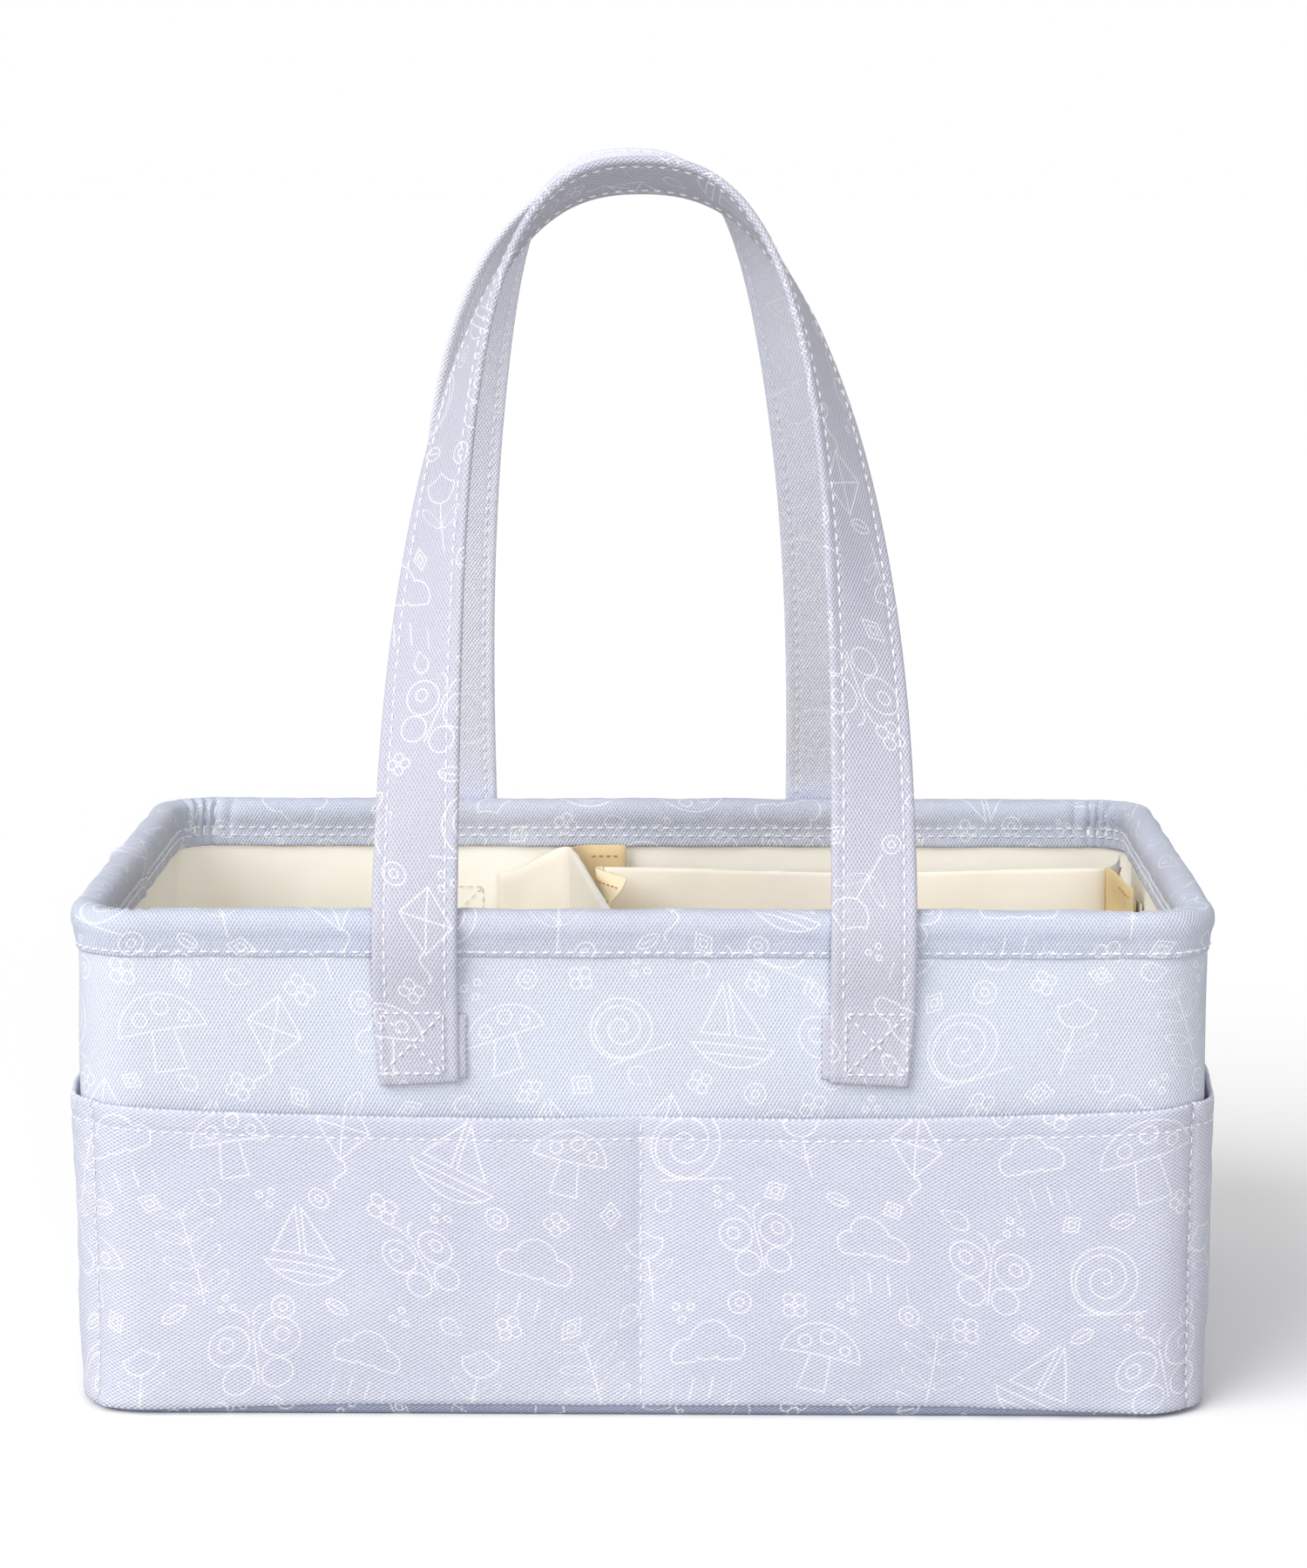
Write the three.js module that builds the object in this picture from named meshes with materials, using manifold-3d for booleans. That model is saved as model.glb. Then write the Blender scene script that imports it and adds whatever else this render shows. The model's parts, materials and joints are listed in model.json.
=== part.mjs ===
// A diaper caddy: a canvas box stiffened by boards, with a rolled rim, a band of pockets
// all round, two strap handles that meet over the middle, a nylon lining, and two dividers
// that lift out.
//
// Millimetres, +Z up. The origin is the middle of the base, on the surface that the caddy
// stands on. X runs to the right, and the front wall faces -Y.
//
// Places across a wall are given as a reach: 0 is the outer face of the canvas wrap, and
// positive is away from the caddy.

import * as THREE from 'three';
import * as BufferGeometryUtils from 'three/addons/utils/BufferGeometryUtils.js';
import Module from 'manifold-3d';

const wasm = await Module();
wasm.setup();

// The box
const bodyLength = 379;
const bodyDepth = 234;
const bodyHeight = 173.7;
const cornerRadius = 21;
const wallTaper = 1.3;

// The layers
const clearance = 0.3;
const canvasThickness = 1.2;
const nylonThickness = 0.8;
const wallBoardThickness = 4;
const baseBoardThickness = 3;
const baseLipHeight = 5.4;

// The rim, a canvas binding rolled over the walls around a filler cord
const rimBulge = 1.2;
const rimOuterLeg = 16;
const rimInnerLeg = 18.2;

// The pockets
const pocketBelowStrap = 12.2;
const pocketCornerLift = 3.5;
const pocketEndDip = 2;
const pocketBow = 6;

// The handles
const strapThickness = 3;
const strapWidth = 28.4;
const strapEdgeRound = 0.9;
const strapFreeDrop = 18.2;
const sewnLength = 23.8;
const sewnEndWidth = 26.4;
const sewnEndShift = 1.2;
const foldUnderPeek = 1.8;
const foldUnderRaise = 1.5;
const handleSway = -3;
const frontLoopHalfWidth = 75.8;
const frontLoopShift = 1.1;
const frontLoopRise = 266;
const frontArchInFront = 9.8;
const frontTwistHeight = 238;
const backLoopHalfWidth = 70.2;
const backLoopShift = -3.9;
const backLoopRise = 264.4;
const backArchBehind = 24.6;
const backTwistHeight = 246.6;

// The dividers
const dividerBoardThickness = 1.5;
const dividerCoverThickness = 0.5;
const dividerEndSeam = 3;
const dividerBelowRim = 17.7;
const flapThickness = 1;
const flapTurn = 8;
const crossBackX = -31;
const crossFrontX = -1;
const crossOuterFlap = 26.6;
const crossInnerFlap = 20;
const crossFlapDroop = 8;
const longDividerFromBack = 57;
const longFlapLength = 21;
const longFlapDroop = 3;
const longCrossTurn = 3;
const hookThickness = 0.8;
const loopPile = 1.5;
const patchWidth = 14;
const patchHeight = 38;
const patchBelowTop = 10;

// Smoothness of the curves
const halfCornerSteps = 3;
const flatSteps = 8;
const rollSteps = 12;
const coreSides = 10;
const legSteps = 5;
const overRimSteps = 4;
const archSteps = 56;

// Curve shapes, which have no size
const frontArchShare = 0.766;
const backArchShare = 0.75;
const frontTwistShare = 1.11;
const backTwistShare = 2.92;
const pocketRowShares = [0, 0.1, 0.22, 0.36, 0.65, 1];
const pocketSwellShare = 0.36;
const pocketCrownShare = 3;
const edgeRoundLimitShare = 0.8;

// Reaches of the layers of the wall, from the outer face of the wrap inwards
const wrapInnerReach = -canvasThickness;
const boardOuterReach = wrapInnerReach - clearance;
const boardInnerReach = boardOuterReach - wallBoardThickness;
const liningOuterReach = boardInnerReach - clearance;
const liningInnerReach = liningOuterReach - nylonThickness;
const outsideReach = clearance + canvasThickness;

// The rolled rim: its centre lies over the middle of the wall
const rollReach = liningInnerReach / 2;
const rollRadius = outsideReach - rollReach + rimBulge;
const rollHeight = bodyHeight - rollRadius;
const rimCoreRadius = rollRadius - canvasThickness - clearance;
const wallTop = rollHeight - rimCoreRadius - clearance;
const rimLegBottom = bodyHeight - rimOuterLeg;

// Heights
const baseBoardBottom = canvasThickness + clearance;
const baseBoardTop = baseBoardBottom + baseBoardThickness;
const wallBottom = baseBoardTop + clearance;
const floorTop = wallBottom + nylonThickness;
const hingeHeight = rimLegBottom - strapFreeDrop;
const sewnEndHeight = hingeHeight - sewnLength;
const pocketTop = sewnEndHeight - pocketBelowStrap;
const pocketBottom = baseLipHeight + clearance;
const dividerBottom = floorTop + clearance;
const dividerTop = bodyHeight - dividerBelowRim;

// How far the dividers may reach outwards and still lift past the rim
const innermostRimReach = rollReach - rollRadius;
const liftReach = innermostRimReach - clearance;
const flapReach = liftReach - hookThickness - clearance - flapThickness / 2;
const dividerThickness = dividerBoardThickness + 2 * (clearance + dividerCoverThickness);
const longDividerY = bodyDepth / 2 - longDividerFromBack;

const walls = {
  front: { angle: -Math.PI / 2, distance: bodyDepth / 2, flatHalf: bodyLength / 2 - cornerRadius },
  right: { angle: 0, distance: bodyLength / 2, flatHalf: bodyDepth / 2 - cornerRadius },
  back: { angle: Math.PI / 2, distance: bodyDepth / 2, flatHalf: bodyLength / 2 - cornerRadius },
  left: { angle: Math.PI, distance: bodyLength / 2, flatHalf: bodyDepth / 2 - cornerRadius },
};

const handles = {
  front: {
    side: -1, halfWidth: frontLoopHalfWidth, shift: frontLoopShift, rise: frontLoopRise,
    archAside: frontArchInFront, twistHeight: frontTwistHeight,
    archShare: frontArchShare, twistShare: frontTwistShare,
  },
  back: {
    side: 1, halfWidth: backLoopHalfWidth, shift: backLoopShift, rise: backLoopRise,
    archAside: backArchBehind, twistHeight: backTwistHeight,
    archShare: backArchShare, twistShare: backTwistShare,
  },
};

const looks = {
  pocketCanvas: { color: 0xdcdeec, roughness: 0.9, metalness: 0 },
  wallCanvas: { color: 0xe0e6f3, roughness: 0.9, metalness: 0 },
  rimCanvas: { color: 0xd6dae8, roughness: 0.9, metalness: 0 },
  strapCanvas: { color: 0xdad9e6, roughness: 0.9, metalness: 0 },
  liningNylon: { color: 0xf0ebdd, roughness: 0.55, metalness: 0 },
  dividerNylon: { color: 0xf1e6d3, roughness: 0.6, metalness: 0 },
  stiffBoard: { color: 0xe9e7e2, roughness: 0.8, metalness: 0 },
  fillerCord: { color: 0xf2f0ea, roughness: 0.95, metalness: 0 },
  hookTape: { color: 0xe6d5a8, roughness: 0.85, metalness: 0 },
};

// Basic helpers

const caddy = new THREE.Group();

function place(name, geometry, look) {
  const mesh = new THREE.Mesh(geometry, new THREE.MeshStandardMaterial(looks[look]));
  mesh.name = name;
  caddy.add(mesh);
}

function smooth(share) {
  const t = THREE.MathUtils.clamp(share, 0, 1);
  return t * t * (3 - 2 * t);
}

function range(steps) {
  return Array.from({ length: steps + 1 }, (_, i) => i / steps);
}

function signedVolume(positions, triangles) {
  const corner = (i) => new THREE.Vector3().fromArray(positions, 3 * i);
  let volume = 0;
  for (let t = 0; t < triangles.length; t += 3) {
    const [a, b, c] = [corner(triangles[t]), corner(triangles[t + 1]), corner(triangles[t + 2])];
    volume += a.dot(b.cross(c)) / 6;
  }
  return volume;
}

// A closed surface from its points and triangles, turned so that it faces outwards.
function closedSurface(points, triangles) {
  const positions = points.flatMap((p) => [p.x, p.y, p.z]);
  const facesOut = signedVolume(positions, triangles) > 0;
  const geometry = new THREE.BufferGeometry();
  geometry.setAttribute('position', new THREE.Float32BufferAttribute(positions, 3));
  geometry.setIndex(facesOut ? triangles : [...triangles].reverse());
  return geometry;
}

// A sheet with a thickness: two grids of points, one for each face, with every open edge
// closed between them. A ring sheet also joins its last column to its first.
function sheet(inner, outer, isRing) {
  const columns = inner.length;
  const rows = inner[0].length;
  const points = [...inner.flat(), ...outer.flat()];
  const at = (face, i, k) => (face * columns + (i % columns)) * rows + k;
  const triangles = [];
  const quad = (a, b, c, d) => triangles.push(a, b, c, a, c, d);
  const lastColumn = isRing ? columns : columns - 1;
  for (let i = 0; i < lastColumn; i += 1) {
    for (let k = 0; k < rows - 1; k += 1) {
      quad(at(0, i, k), at(0, i, k + 1), at(0, i + 1, k + 1), at(0, i + 1, k));
      quad(at(1, i, k), at(1, i + 1, k), at(1, i + 1, k + 1), at(1, i, k + 1));
    }
    quad(at(0, i, 0), at(0, i + 1, 0), at(1, i + 1, 0), at(1, i, 0));
    quad(at(0, i, rows - 1), at(1, i, rows - 1), at(1, i + 1, rows - 1), at(0, i + 1, rows - 1));
  }
  if (!isRing) {
    for (let k = 0; k < rows - 1; k += 1) {
      quad(at(0, 0, k), at(1, 0, k), at(1, 0, k + 1), at(0, 0, k + 1));
      const end = columns - 1;
      quad(at(0, end, k), at(0, end, k + 1), at(1, end, k + 1), at(1, end, k));
    }
  }
  return closedSurface(points, triangles);
}

// A tube that closes on itself, from rings of points around its centre line.
function closedTube(rings) {
  const sides = rings[0].length;
  const at = (i, k) => (i % rings.length) * sides + (k % sides);
  const triangles = [];
  for (let i = 0; i < rings.length; i += 1) {
    for (let k = 0; k < sides; k += 1) {
      triangles.push(at(i, k), at(i + 1, k), at(i + 1, k + 1));
      triangles.push(at(i, k), at(i + 1, k + 1), at(i, k + 1));
    }
  }
  return closedSurface(rings.flat(), triangles);
}

function toSolid(geometry) {
  const bare = geometry.clone();
  bare.deleteAttribute('normal');
  bare.deleteAttribute('uv');
  const merged = BufferGeometryUtils.mergeVertices(bare);
  return new wasm.Manifold(new wasm.Mesh({
    numProp: 3,
    vertProperties: merged.attributes.position.array,
    triVerts: Uint32Array.from(merged.index.array),
  }));
}

function toGeometry(solid) {
  const mesh = solid.getMesh();
  const geometry = new THREE.BufferGeometry();
  geometry.setAttribute('position', new THREE.Float32BufferAttribute(mesh.vertProperties, 3));
  geometry.setIndex(Array.from(mesh.triVerts));
  return geometry;
}

function united(...geometries) {
  return toGeometry(geometries.map(toSolid).reduce((all, next) => all.add(next)));
}

function cut(geometry, tool) {
  return toGeometry(toSolid(geometry).subtract(toSolid(tool)));
}

// The plan of the walls

function direction(angle) {
  return new THREE.Vector2(Math.cos(angle), Math.sin(angle));
}

// Stations along one wall, from the middle of one rounded corner to the middle of the next.
// Each has its place on the outer face, the way out, and its run from the wall's middle.
function wallStations(wall, steps = flatSteps) {
  const out = direction(wall.angle);
  const along = direction(wall.angle + Math.PI / 2);
  const corner = (end) => out.clone().multiplyScalar(wall.distance - cornerRadius)
    .addScaledVector(along, end * wall.flatHalf);
  const onCorner = (end, turn) => {
    const normal = direction(wall.angle + turn);
    return {
      at: corner(end).addScaledVector(normal, cornerRadius),
      normal,
      run: end * wall.flatHalf + cornerRadius * turn,
    };
  };
  const quarter = Math.PI / 4;
  const first = range(halfCornerSteps).map((share) => onCorner(-1, quarter * (share - 1)));
  const last = range(halfCornerSteps).map((share) => onCorner(1, quarter * share));
  const flat = range(steps).slice(1, -1).map((share) => {
    const run = wall.flatHalf * (2 * share - 1);
    return {
      at: out.clone().multiplyScalar(wall.distance).addScaledVector(along, run),
      normal: out,
      run,
    };
  });
  return [...first, ...flat, ...last];
}

const aroundTheBox = Object.values(walls).flatMap((wall) => wallStations(wall).slice(1));

// The walls draw in towards the base, below the top of the pockets.
function taper(height) {
  return -wallTaper * (1 - Math.min(height / pocketTop, 1));
}

function onWall(station, reach, height) {
  const at = station.at.clone().addScaledVector(station.normal, reach + taper(height));
  return new THREE.Vector3(at.x, at.y, height);
}

// A layer of the wall between two reaches, on the given stations and heights.
function wallLayer(stations, innerReach, outerReach, heights, isRing) {
  const column = (station, reach) => heights.map((z) => onWall(station, reach, z));
  const face = (reach) => stations.map((station) => column(station, reach));
  return sheet(face(innerReach), face(outerReach), isRing);
}

function slab(reach, bottom, top) {
  const outline = aroundTheBox.map(({ at, normal }) => at.clone().addScaledVector(normal, reach));
  const geometry = new THREE.ExtrudeGeometry(new THREE.Shape(outline), {
    depth: top - bottom, bevelEnabled: false, steps: 1,
  });
  return geometry.translate(0, 0, bottom);
}

// The canvas shell and what stiffens it

function addShell() {
  place('outer_wrap', wallLayer(aroundTheBox, wrapInnerReach, 0,
    [baseBoardBottom, pocketTop, wallTop], true), 'wallCanvas');

  const lipReach = taper(baseLipHeight) + clearance;
  const tray = slab(lipReach + canvasThickness, 0, baseLipHeight);
  const hollow = slab(lipReach, canvasThickness, baseLipHeight + clearance);
  place('base_canvas', cut(tray, hollow), 'wallCanvas');
}

function addBoards() {
  place('base_board', slab(taper(0) + boardOuterReach, baseBoardBottom, baseBoardTop), 'stiffBoard');
  for (const [name, wall] of Object.entries(walls)) {
    const flat = wallStations(wall).filter((station) => Math.abs(station.run) <= wall.flatHalf);
    const heights = [wallBottom, pocketTop, wallTop];
    place(`board_${name}`, wallLayer(flat, boardInnerReach, boardOuterReach, heights, false),
      'stiffBoard');
  }
}

function addLining() {
  place('lining_wall', wallLayer(aroundTheBox, liningInnerReach, liningOuterReach,
    [wallBottom, pocketTop, wallTop], true), 'liningNylon');
  const floorReach = taper(wallBottom) + liningInnerReach - clearance;
  place('lining_floor', slab(floorReach, wallBottom, floorTop), 'liningNylon');
}

// The rolled rim

// One face of the binding: up the outside leg, over the roll, and down the inside leg.
function bindingFace(station, radius, legHalf) {
  const start = -Math.acos(legHalf / radius);
  const sweep = Math.PI - 2 * start;
  const over = range(rollSteps).map((share) => {
    const angle = start + sweep * share;
    return onWall(station, rollReach + radius * Math.cos(angle),
      rollHeight + radius * Math.sin(angle));
  });
  const outsideEnd = onWall(station, rollReach + legHalf, rimLegBottom);
  const insideEnd = onWall(station, rollReach - legHalf, bodyHeight - rimInnerLeg);
  return [outsideEnd, ...over, insideEnd];
}

function addRim() {
  const legHalf = clearance - rollReach;
  const inner = aroundTheBox.map((station) => (
    bindingFace(station, rollRadius - canvasThickness, legHalf)));
  const outer = aroundTheBox.map((station) => (
    bindingFace(station, rollRadius, legHalf + canvasThickness)));
  place('rim_binding', sheet(inner, outer, true), 'rimCanvas');

  const rings = aroundTheBox.map((station) => range(coreSides).slice(1).map((share) => {
    const angle = 2 * Math.PI * share;
    return onWall(station, rollReach + rimCoreRadius * Math.cos(angle),
      rollHeight + rimCoreRadius * Math.sin(angle));
  }));
  place('rim_core', closedTube(rings), 'fillerCord');
}

// The pockets

// How far a pocket stands open, as a share: nothing at its seams and its bottom.
function pocketOpening(run, halfRun, pocketCount, heightShare) {
  const position = (run / halfRun + 1) * pocketCount / 2;
  const inPocket = 2 * (position - Math.min(Math.floor(position), pocketCount - 1)) - 1;
  const across = 1 - Math.abs(inPocket) ** pocketCrownShare;
  const upwards = Math.sin(Math.PI / 2 * Math.min(heightShare / pocketSwellShare, 1));
  return across * upwards;
}

function addPocketBand(name, wall, pocketCount, steps, topHeight) {
  const stations = wallStations(wall, steps);
  const last = stations.length - 1;
  const halfRun = stations[last].run;
  const face = (reach) => stations.map((station, i) => {
    const end = Number(i === 0) - Number(i === last);
    const fromSeam = new THREE.Vector3(-station.normal.y, station.normal.x, 0)
      .multiplyScalar(end * clearance / 2);
    const top = topHeight(station.run / halfRun);
    return pocketRowShares.map((share) => {
      const height = pocketBottom + (top - pocketBottom) * share;
      const bow = pocketBow * pocketOpening(station.run, halfRun, pocketCount, share);
      return onWall(station, reach + bow, height).add(fromSeam);
    });
  });
  place(name, sheet(face(clearance), face(outsideReach), false), 'pocketCanvas');
}

function addPockets() {
  const longTop = (spread) => pocketTop + pocketCornerLift * spread ** 2;
  const endTop = (spread) => pocketTop + pocketCornerLift - pocketEndDip * (1 - spread ** 2);
  addPocketBand('front_pocket', walls.front, 2, 20, longTop);
  addPocketBand('back_pocket', walls.back, 2, 20, longTop);
  addPocketBand('left_pocket', walls.left, 1, 10, endTop);
  addPocketBand('right_pocket', walls.right, 1, 10, endTop);
}

// The handles

// The angle that a loop leans inwards from the upright, so that its arch ends where it should.
function leanAngle(handle, bendRadius) {
  const wanted = handle.archAside - bodyDepth / 2 - rollReach;
  const far = Math.hypot(bendRadius, handle.rise);
  return Math.acos(wanted / far) - Math.atan2(handle.rise, bendRadius);
}

// A point of the handle's side of the box, from its reach and its height.
function beside(handle, x, reach, height) {
  return new THREE.Vector3(x, handle.side * (bodyDepth / 2 + reach), height);
}

// The middle of one leg, from the hinge line up to where it leaves the rim.
function legPoints(handle, legX, lean, bendRadius) {
  const sewnReach = clearance + strapThickness / 2;
  const rimReach = rollReach + bendRadius;
  const bottom = hingeHeight + clearance;
  const rising = range(legSteps).map((share) => beside(handle, legX,
    sewnReach + (rimReach - sewnReach) * smooth(share),
    bottom + (rimLegBottom - bottom) * share));
  const over = range(overRimSteps).slice(0, -1).map((share) => {
    const angle = lean * share;
    return beside(handle, legX, rollReach + bendRadius * Math.cos(angle),
      rollHeight + bendRadius * Math.sin(angle));
  });
  return [...rising, ...over];
}

function tangentsAlong(points) {
  return points.map((_, i) => {
    const before = points[Math.max(i - 1, 0)];
    const after = points[Math.min(i + 1, points.length - 1)];
    return new THREE.Vector3().subVectors(after, before).normalize();
  });
}

// The stations of a whole loop, from the foot of its left leg to the foot of its right leg.
// Each has its place on the middle of the strap, the way along it, and the way to its inner
// edge. The strap twists as it rises, and lies edge on to the loop at the top.
function loopStations(handle) {
  const bendRadius = rollRadius + clearance + strapThickness / 2;
  const lean = leanAngle(handle, bendRadius);
  const up = new THREE.Vector3(0, -handle.side * Math.sin(lean), Math.cos(lean));
  const outward = new THREE.Vector3(0, handle.side * Math.cos(lean), Math.sin(lean));
  const foot = beside(handle, handle.shift, rollReach + bendRadius * Math.cos(lean),
    rollHeight + bendRadius * Math.sin(lean));
  const shape = (value) => Math.sign(value) * Math.abs(value) ** handle.archShare;
  const arch = range(archSteps).map((share) => {
    const angle = Math.PI * share;
    const across = handleSway * Math.sin(angle) ** 2 - handle.halfWidth * shape(Math.cos(angle));
    return foot.clone().addScaledVector(up, handle.rise * shape(Math.sin(angle)))
      .add(new THREE.Vector3(across, 0, 0));
  });
  const leg = (end) => legPoints(handle, handle.shift + end * handle.halfWidth, lean, bendRadius);
  const middle = [...leg(-1), ...arch, ...leg(1).reverse()];
  const tangents = tangentsAlong(middle);
  return middle.map((at, i) => {
    const inwards = new THREE.Vector3().crossVectors(tangents[i], outward)
      .multiplyScalar(-handle.side).normalize();
    const turned = THREE.MathUtils.clamp((at.z - bodyHeight) / handle.twistHeight, 0, 1);
    const twist = Math.PI / 2 * turned ** handle.twistShare;
    const width = inwards.multiplyScalar(Math.cos(twist))
      .addScaledVector(outward, Math.sin(twist));
    width.addScaledVector(tangents[i], -width.dot(tangents[i])).normalize();
    return { at, tangent: tangents[i], width };
  });
}

// The strap's faces, with its two long edges rounded off.
function strapFaces(stations) {
  const halfWidth = strapWidth / 2;
  const halfThickness = strapThickness / 2;
  const rounded = Math.min(strapEdgeRound, halfThickness * edgeRoundLimitShare);
  const section = [
    [-halfWidth, halfThickness - rounded], [rounded - halfWidth, halfThickness],
    [halfWidth - rounded, halfThickness], [halfWidth, halfThickness - rounded],
  ];
  const face = (sign) => stations.map(({ at, tangent, width }) => {
    const out = new THREE.Vector3().crossVectors(tangent, width).multiplyScalar(sign);
    return section.map(([across, through]) => at.clone()
      .addScaledVector(width, across).addScaledVector(out, through));
  });
  return [face(1), face(-1)];
}

// A sewn end: the strap flat on the wall, narrowing to its end, and the layer folded under it.
function sewnEnd(handle, legX) {
  const towardMiddle = -Math.sign(legX);
  const endX = legX + towardMiddle * sewnEndShift;
  const underX = endX + towardMiddle * foldUnderPeek;
  const plate = (rows, thickness) => {
    const grid = (reach) => rows.map(({ x, half, z }) => [
      beside(handle, x - half, reach, z), beside(handle, x + half, reach, z),
    ]);
    return sheet(grid(clearance), grid(clearance + thickness), false);
  };
  const outer = plate([
    { x: legX, half: strapWidth / 2, z: hingeHeight },
    { x: endX, half: sewnEndWidth / 2, z: sewnEndHeight },
  ], strapThickness);
  const under = plate([
    { x: underX, half: sewnEndWidth / 2, z: hingeHeight - foldUnderRaise },
    { x: underX, half: sewnEndWidth / 2, z: sewnEndHeight + foldUnderRaise },
  ], strapThickness / 2);
  return united(outer, under);
}

function addHandles() {
  for (const [name, handle] of Object.entries(handles)) {
    const loop = sheet(...strapFaces(loopStations(handle)), false);
    place(`handle_${name}_loop`, loop, 'strapCanvas');
    const left = sewnEnd(handle, handle.shift - handle.halfWidth);
    const right = sewnEnd(handle, handle.shift + handle.halfWidth);
    place(`handle_${name}_left_end`, left, 'strapCanvas');
    place(`handle_${name}_right_end`, right, 'strapCanvas');
  }
}

// The dividers

// An upright sheet along a path in plan. Each path point has its own top height.
function uprightSheet(path, thickness, bottom) {
  const sideways = path.map((_, i) => {
    const before = path[Math.max(i - 1, 0)];
    const after = path[Math.min(i + 1, path.length - 1)];
    const along = new THREE.Vector2(after.x - before.x, after.y - before.y).normalize();
    return new THREE.Vector2(-along.y, along.x);
  });
  const face = (offset) => path.map((point, i) => {
    const x = point.x + sideways[i].x * offset;
    const y = point.y + sideways[i].y * offset;
    return [new THREE.Vector3(x, y, bottom), new THREE.Vector3(x, y, point.top)];
  });
  return sheet(face(-thickness / 2), face(thickness / 2), false);
}

// A cover for a board: a sleeve with its foot open, closed by a seam at each end.
function sleeve(pathBetween, from, to) {
  const insideTop = dividerTop - dividerCoverThickness;
  const hollowThickness = dividerThickness - 2 * dividerCoverThickness;
  const full = uprightSheet(pathBetween(from, to, dividerTop), dividerThickness, dividerBottom);
  const hollow = uprightSheet(pathBetween(from + dividerEndSeam, to - dividerEndSeam, insideTop),
    hollowThickness, dividerBottom - clearance);
  return cut(full, hollow);
}

function boardInside(pathBetween, from, to) {
  const inset = dividerEndSeam + clearance;
  const top = dividerTop - dividerCoverThickness - clearance;
  return uprightSheet(pathBetween(from + inset, to - inset, top), dividerBoardThickness,
    dividerBottom);
}

const wallFaceY = bodyDepth / 2 + flapReach;
const wallFaceX = bodyLength / 2 + flapReach;
const crossHalf = wallFaceY - flapTurn;

// The cross divider stands a little aslant, from the back wall to the front wall.
function crossX(y) {
  const share = (wallFaceY - y) / (2 * wallFaceY);
  return crossBackX + (crossFrontX - crossBackX) * share;
}

function crossPath(from, to, top) {
  return range(flatSteps).map((share) => {
    const y = from + (to - from) * share;
    return { x: crossX(y), y, top };
  });
}

// A flap that leaves the end of a divider and turns flat against the wall. The start is where
// the divider ends, out is the way to the wall, and along is the way that the flap turns.
function flap(start, out, { along, turn, length, droop }) {
  const point = (outShare, run) => {
    const fall = droop * Math.min(run / length, 1);
    return {
      x: start.x + out.x * outShare * turn + along.x * run,
      y: start.y + out.y * outShare * turn + along.y * run,
      top: dividerTop - fall,
    };
  };
  const turns = range(legSteps).map((share) => {
    const angle = Math.PI / 2 * share;
    return point(Math.sin(angle), turn * (1 - Math.cos(angle)));
  });
  return uprightSheet([...turns, point(1, length)], flapThickness, dividerBottom);
}

// A patch of hook or loop tape, between two ends in plan, near the top of a divider.
function patch(from, to, thickness) {
  const top = dividerTop - patchBelowTop;
  return uprightSheet([{ x: from.x, y: from.y, top }, { x: to.x, y: to.y, top }], thickness,
    top - patchHeight);
}

// A pair of patches between a flap and the lining that it grips: the hook tape on the flap,
// and the loop tape on the lining. The pair lies at a wall, at a place along that wall.
function patchPair(hookName, loopName, wall, middleRun) {
  const out = direction(wall.angle);
  const along = direction(wall.angle + Math.PI / 2);
  const layer = (reach, thickness) => {
    const middle = out.clone().multiplyScalar(wall.distance + reach)
      .addScaledVector(along, middleRun);
    return patch(middle.clone().addScaledVector(along, -patchWidth / 2),
      middle.clone().addScaledVector(along, patchWidth / 2), thickness);
  };
  place(hookName, layer(liftReach - hookThickness / 2, hookThickness), 'hookTape');
  place(loopName, layer(liningInnerReach - clearance - loopPile / 2, loopPile), 'liningNylon');
}

// The flaps at one end of a divider, each from just inside its end seam.
function endFlaps(end, out, flaps) {
  const overlap = flapThickness / 2;
  const start = end.clone().addScaledVector(out, -overlap);
  return flaps.map((shape) => {
    const grown = out.clone().multiplyScalar(1 + overlap / shape.turn);
    return flap(start, grown, shape);
  });
}

function addCrossDivider() {
  const left = {
    along: new THREE.Vector2(-1, 0), turn: flapTurn, length: crossOuterFlap, droop: crossFlapDroop,
  };
  const right = {
    along: new THREE.Vector2(1, 0), turn: flapTurn, length: crossInnerFlap, droop: 0,
  };
  const ends = [1, -1].map((side) => ({
    at: new THREE.Vector2(crossX(side * crossHalf), side * crossHalf),
    out: new THREE.Vector2(0, side),
  }));
  const flaps = ends.flatMap((end) => endFlaps(end.at, end.out, [left, right]));
  place('cross_divider_cover', united(sleeve(crossPath, -crossHalf, crossHalf), ...flaps),
    'dividerNylon');
  place('cross_divider_board', boardInside(crossPath, -crossHalf, crossHalf), 'stiffBoard');

  const patchRun = crossInnerFlap - patchWidth / 2;
  patchPair('cross_divider_back_hook', 'lining_back_loop', walls.back,
    -(ends[0].at.x + patchRun));
  patchPair('cross_divider_front_hook', 'lining_front_loop', walls.front,
    ends[1].at.x + patchRun);
}

// What lies between the cross divider and the long divider's left end, which grips it with a
// flap of its own. Each place has its run forwards along the cross divider, and its gap from it.
function besideCrossDivider() {
  const crossAt = (y) => new THREE.Vector2(crossX(y), y);
  const forward = crossAt(-crossHalf).sub(crossAt(crossHalf)).normalize();
  const toCross = new THREE.Vector2(forward.y, -forward.x);
  const at = (run, gap) => crossAt(longDividerY).addScaledVector(forward, run)
    .addScaledVector(toCross, -dividerThickness / 2 - gap);
  return { forward, toCross, at };
}

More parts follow.
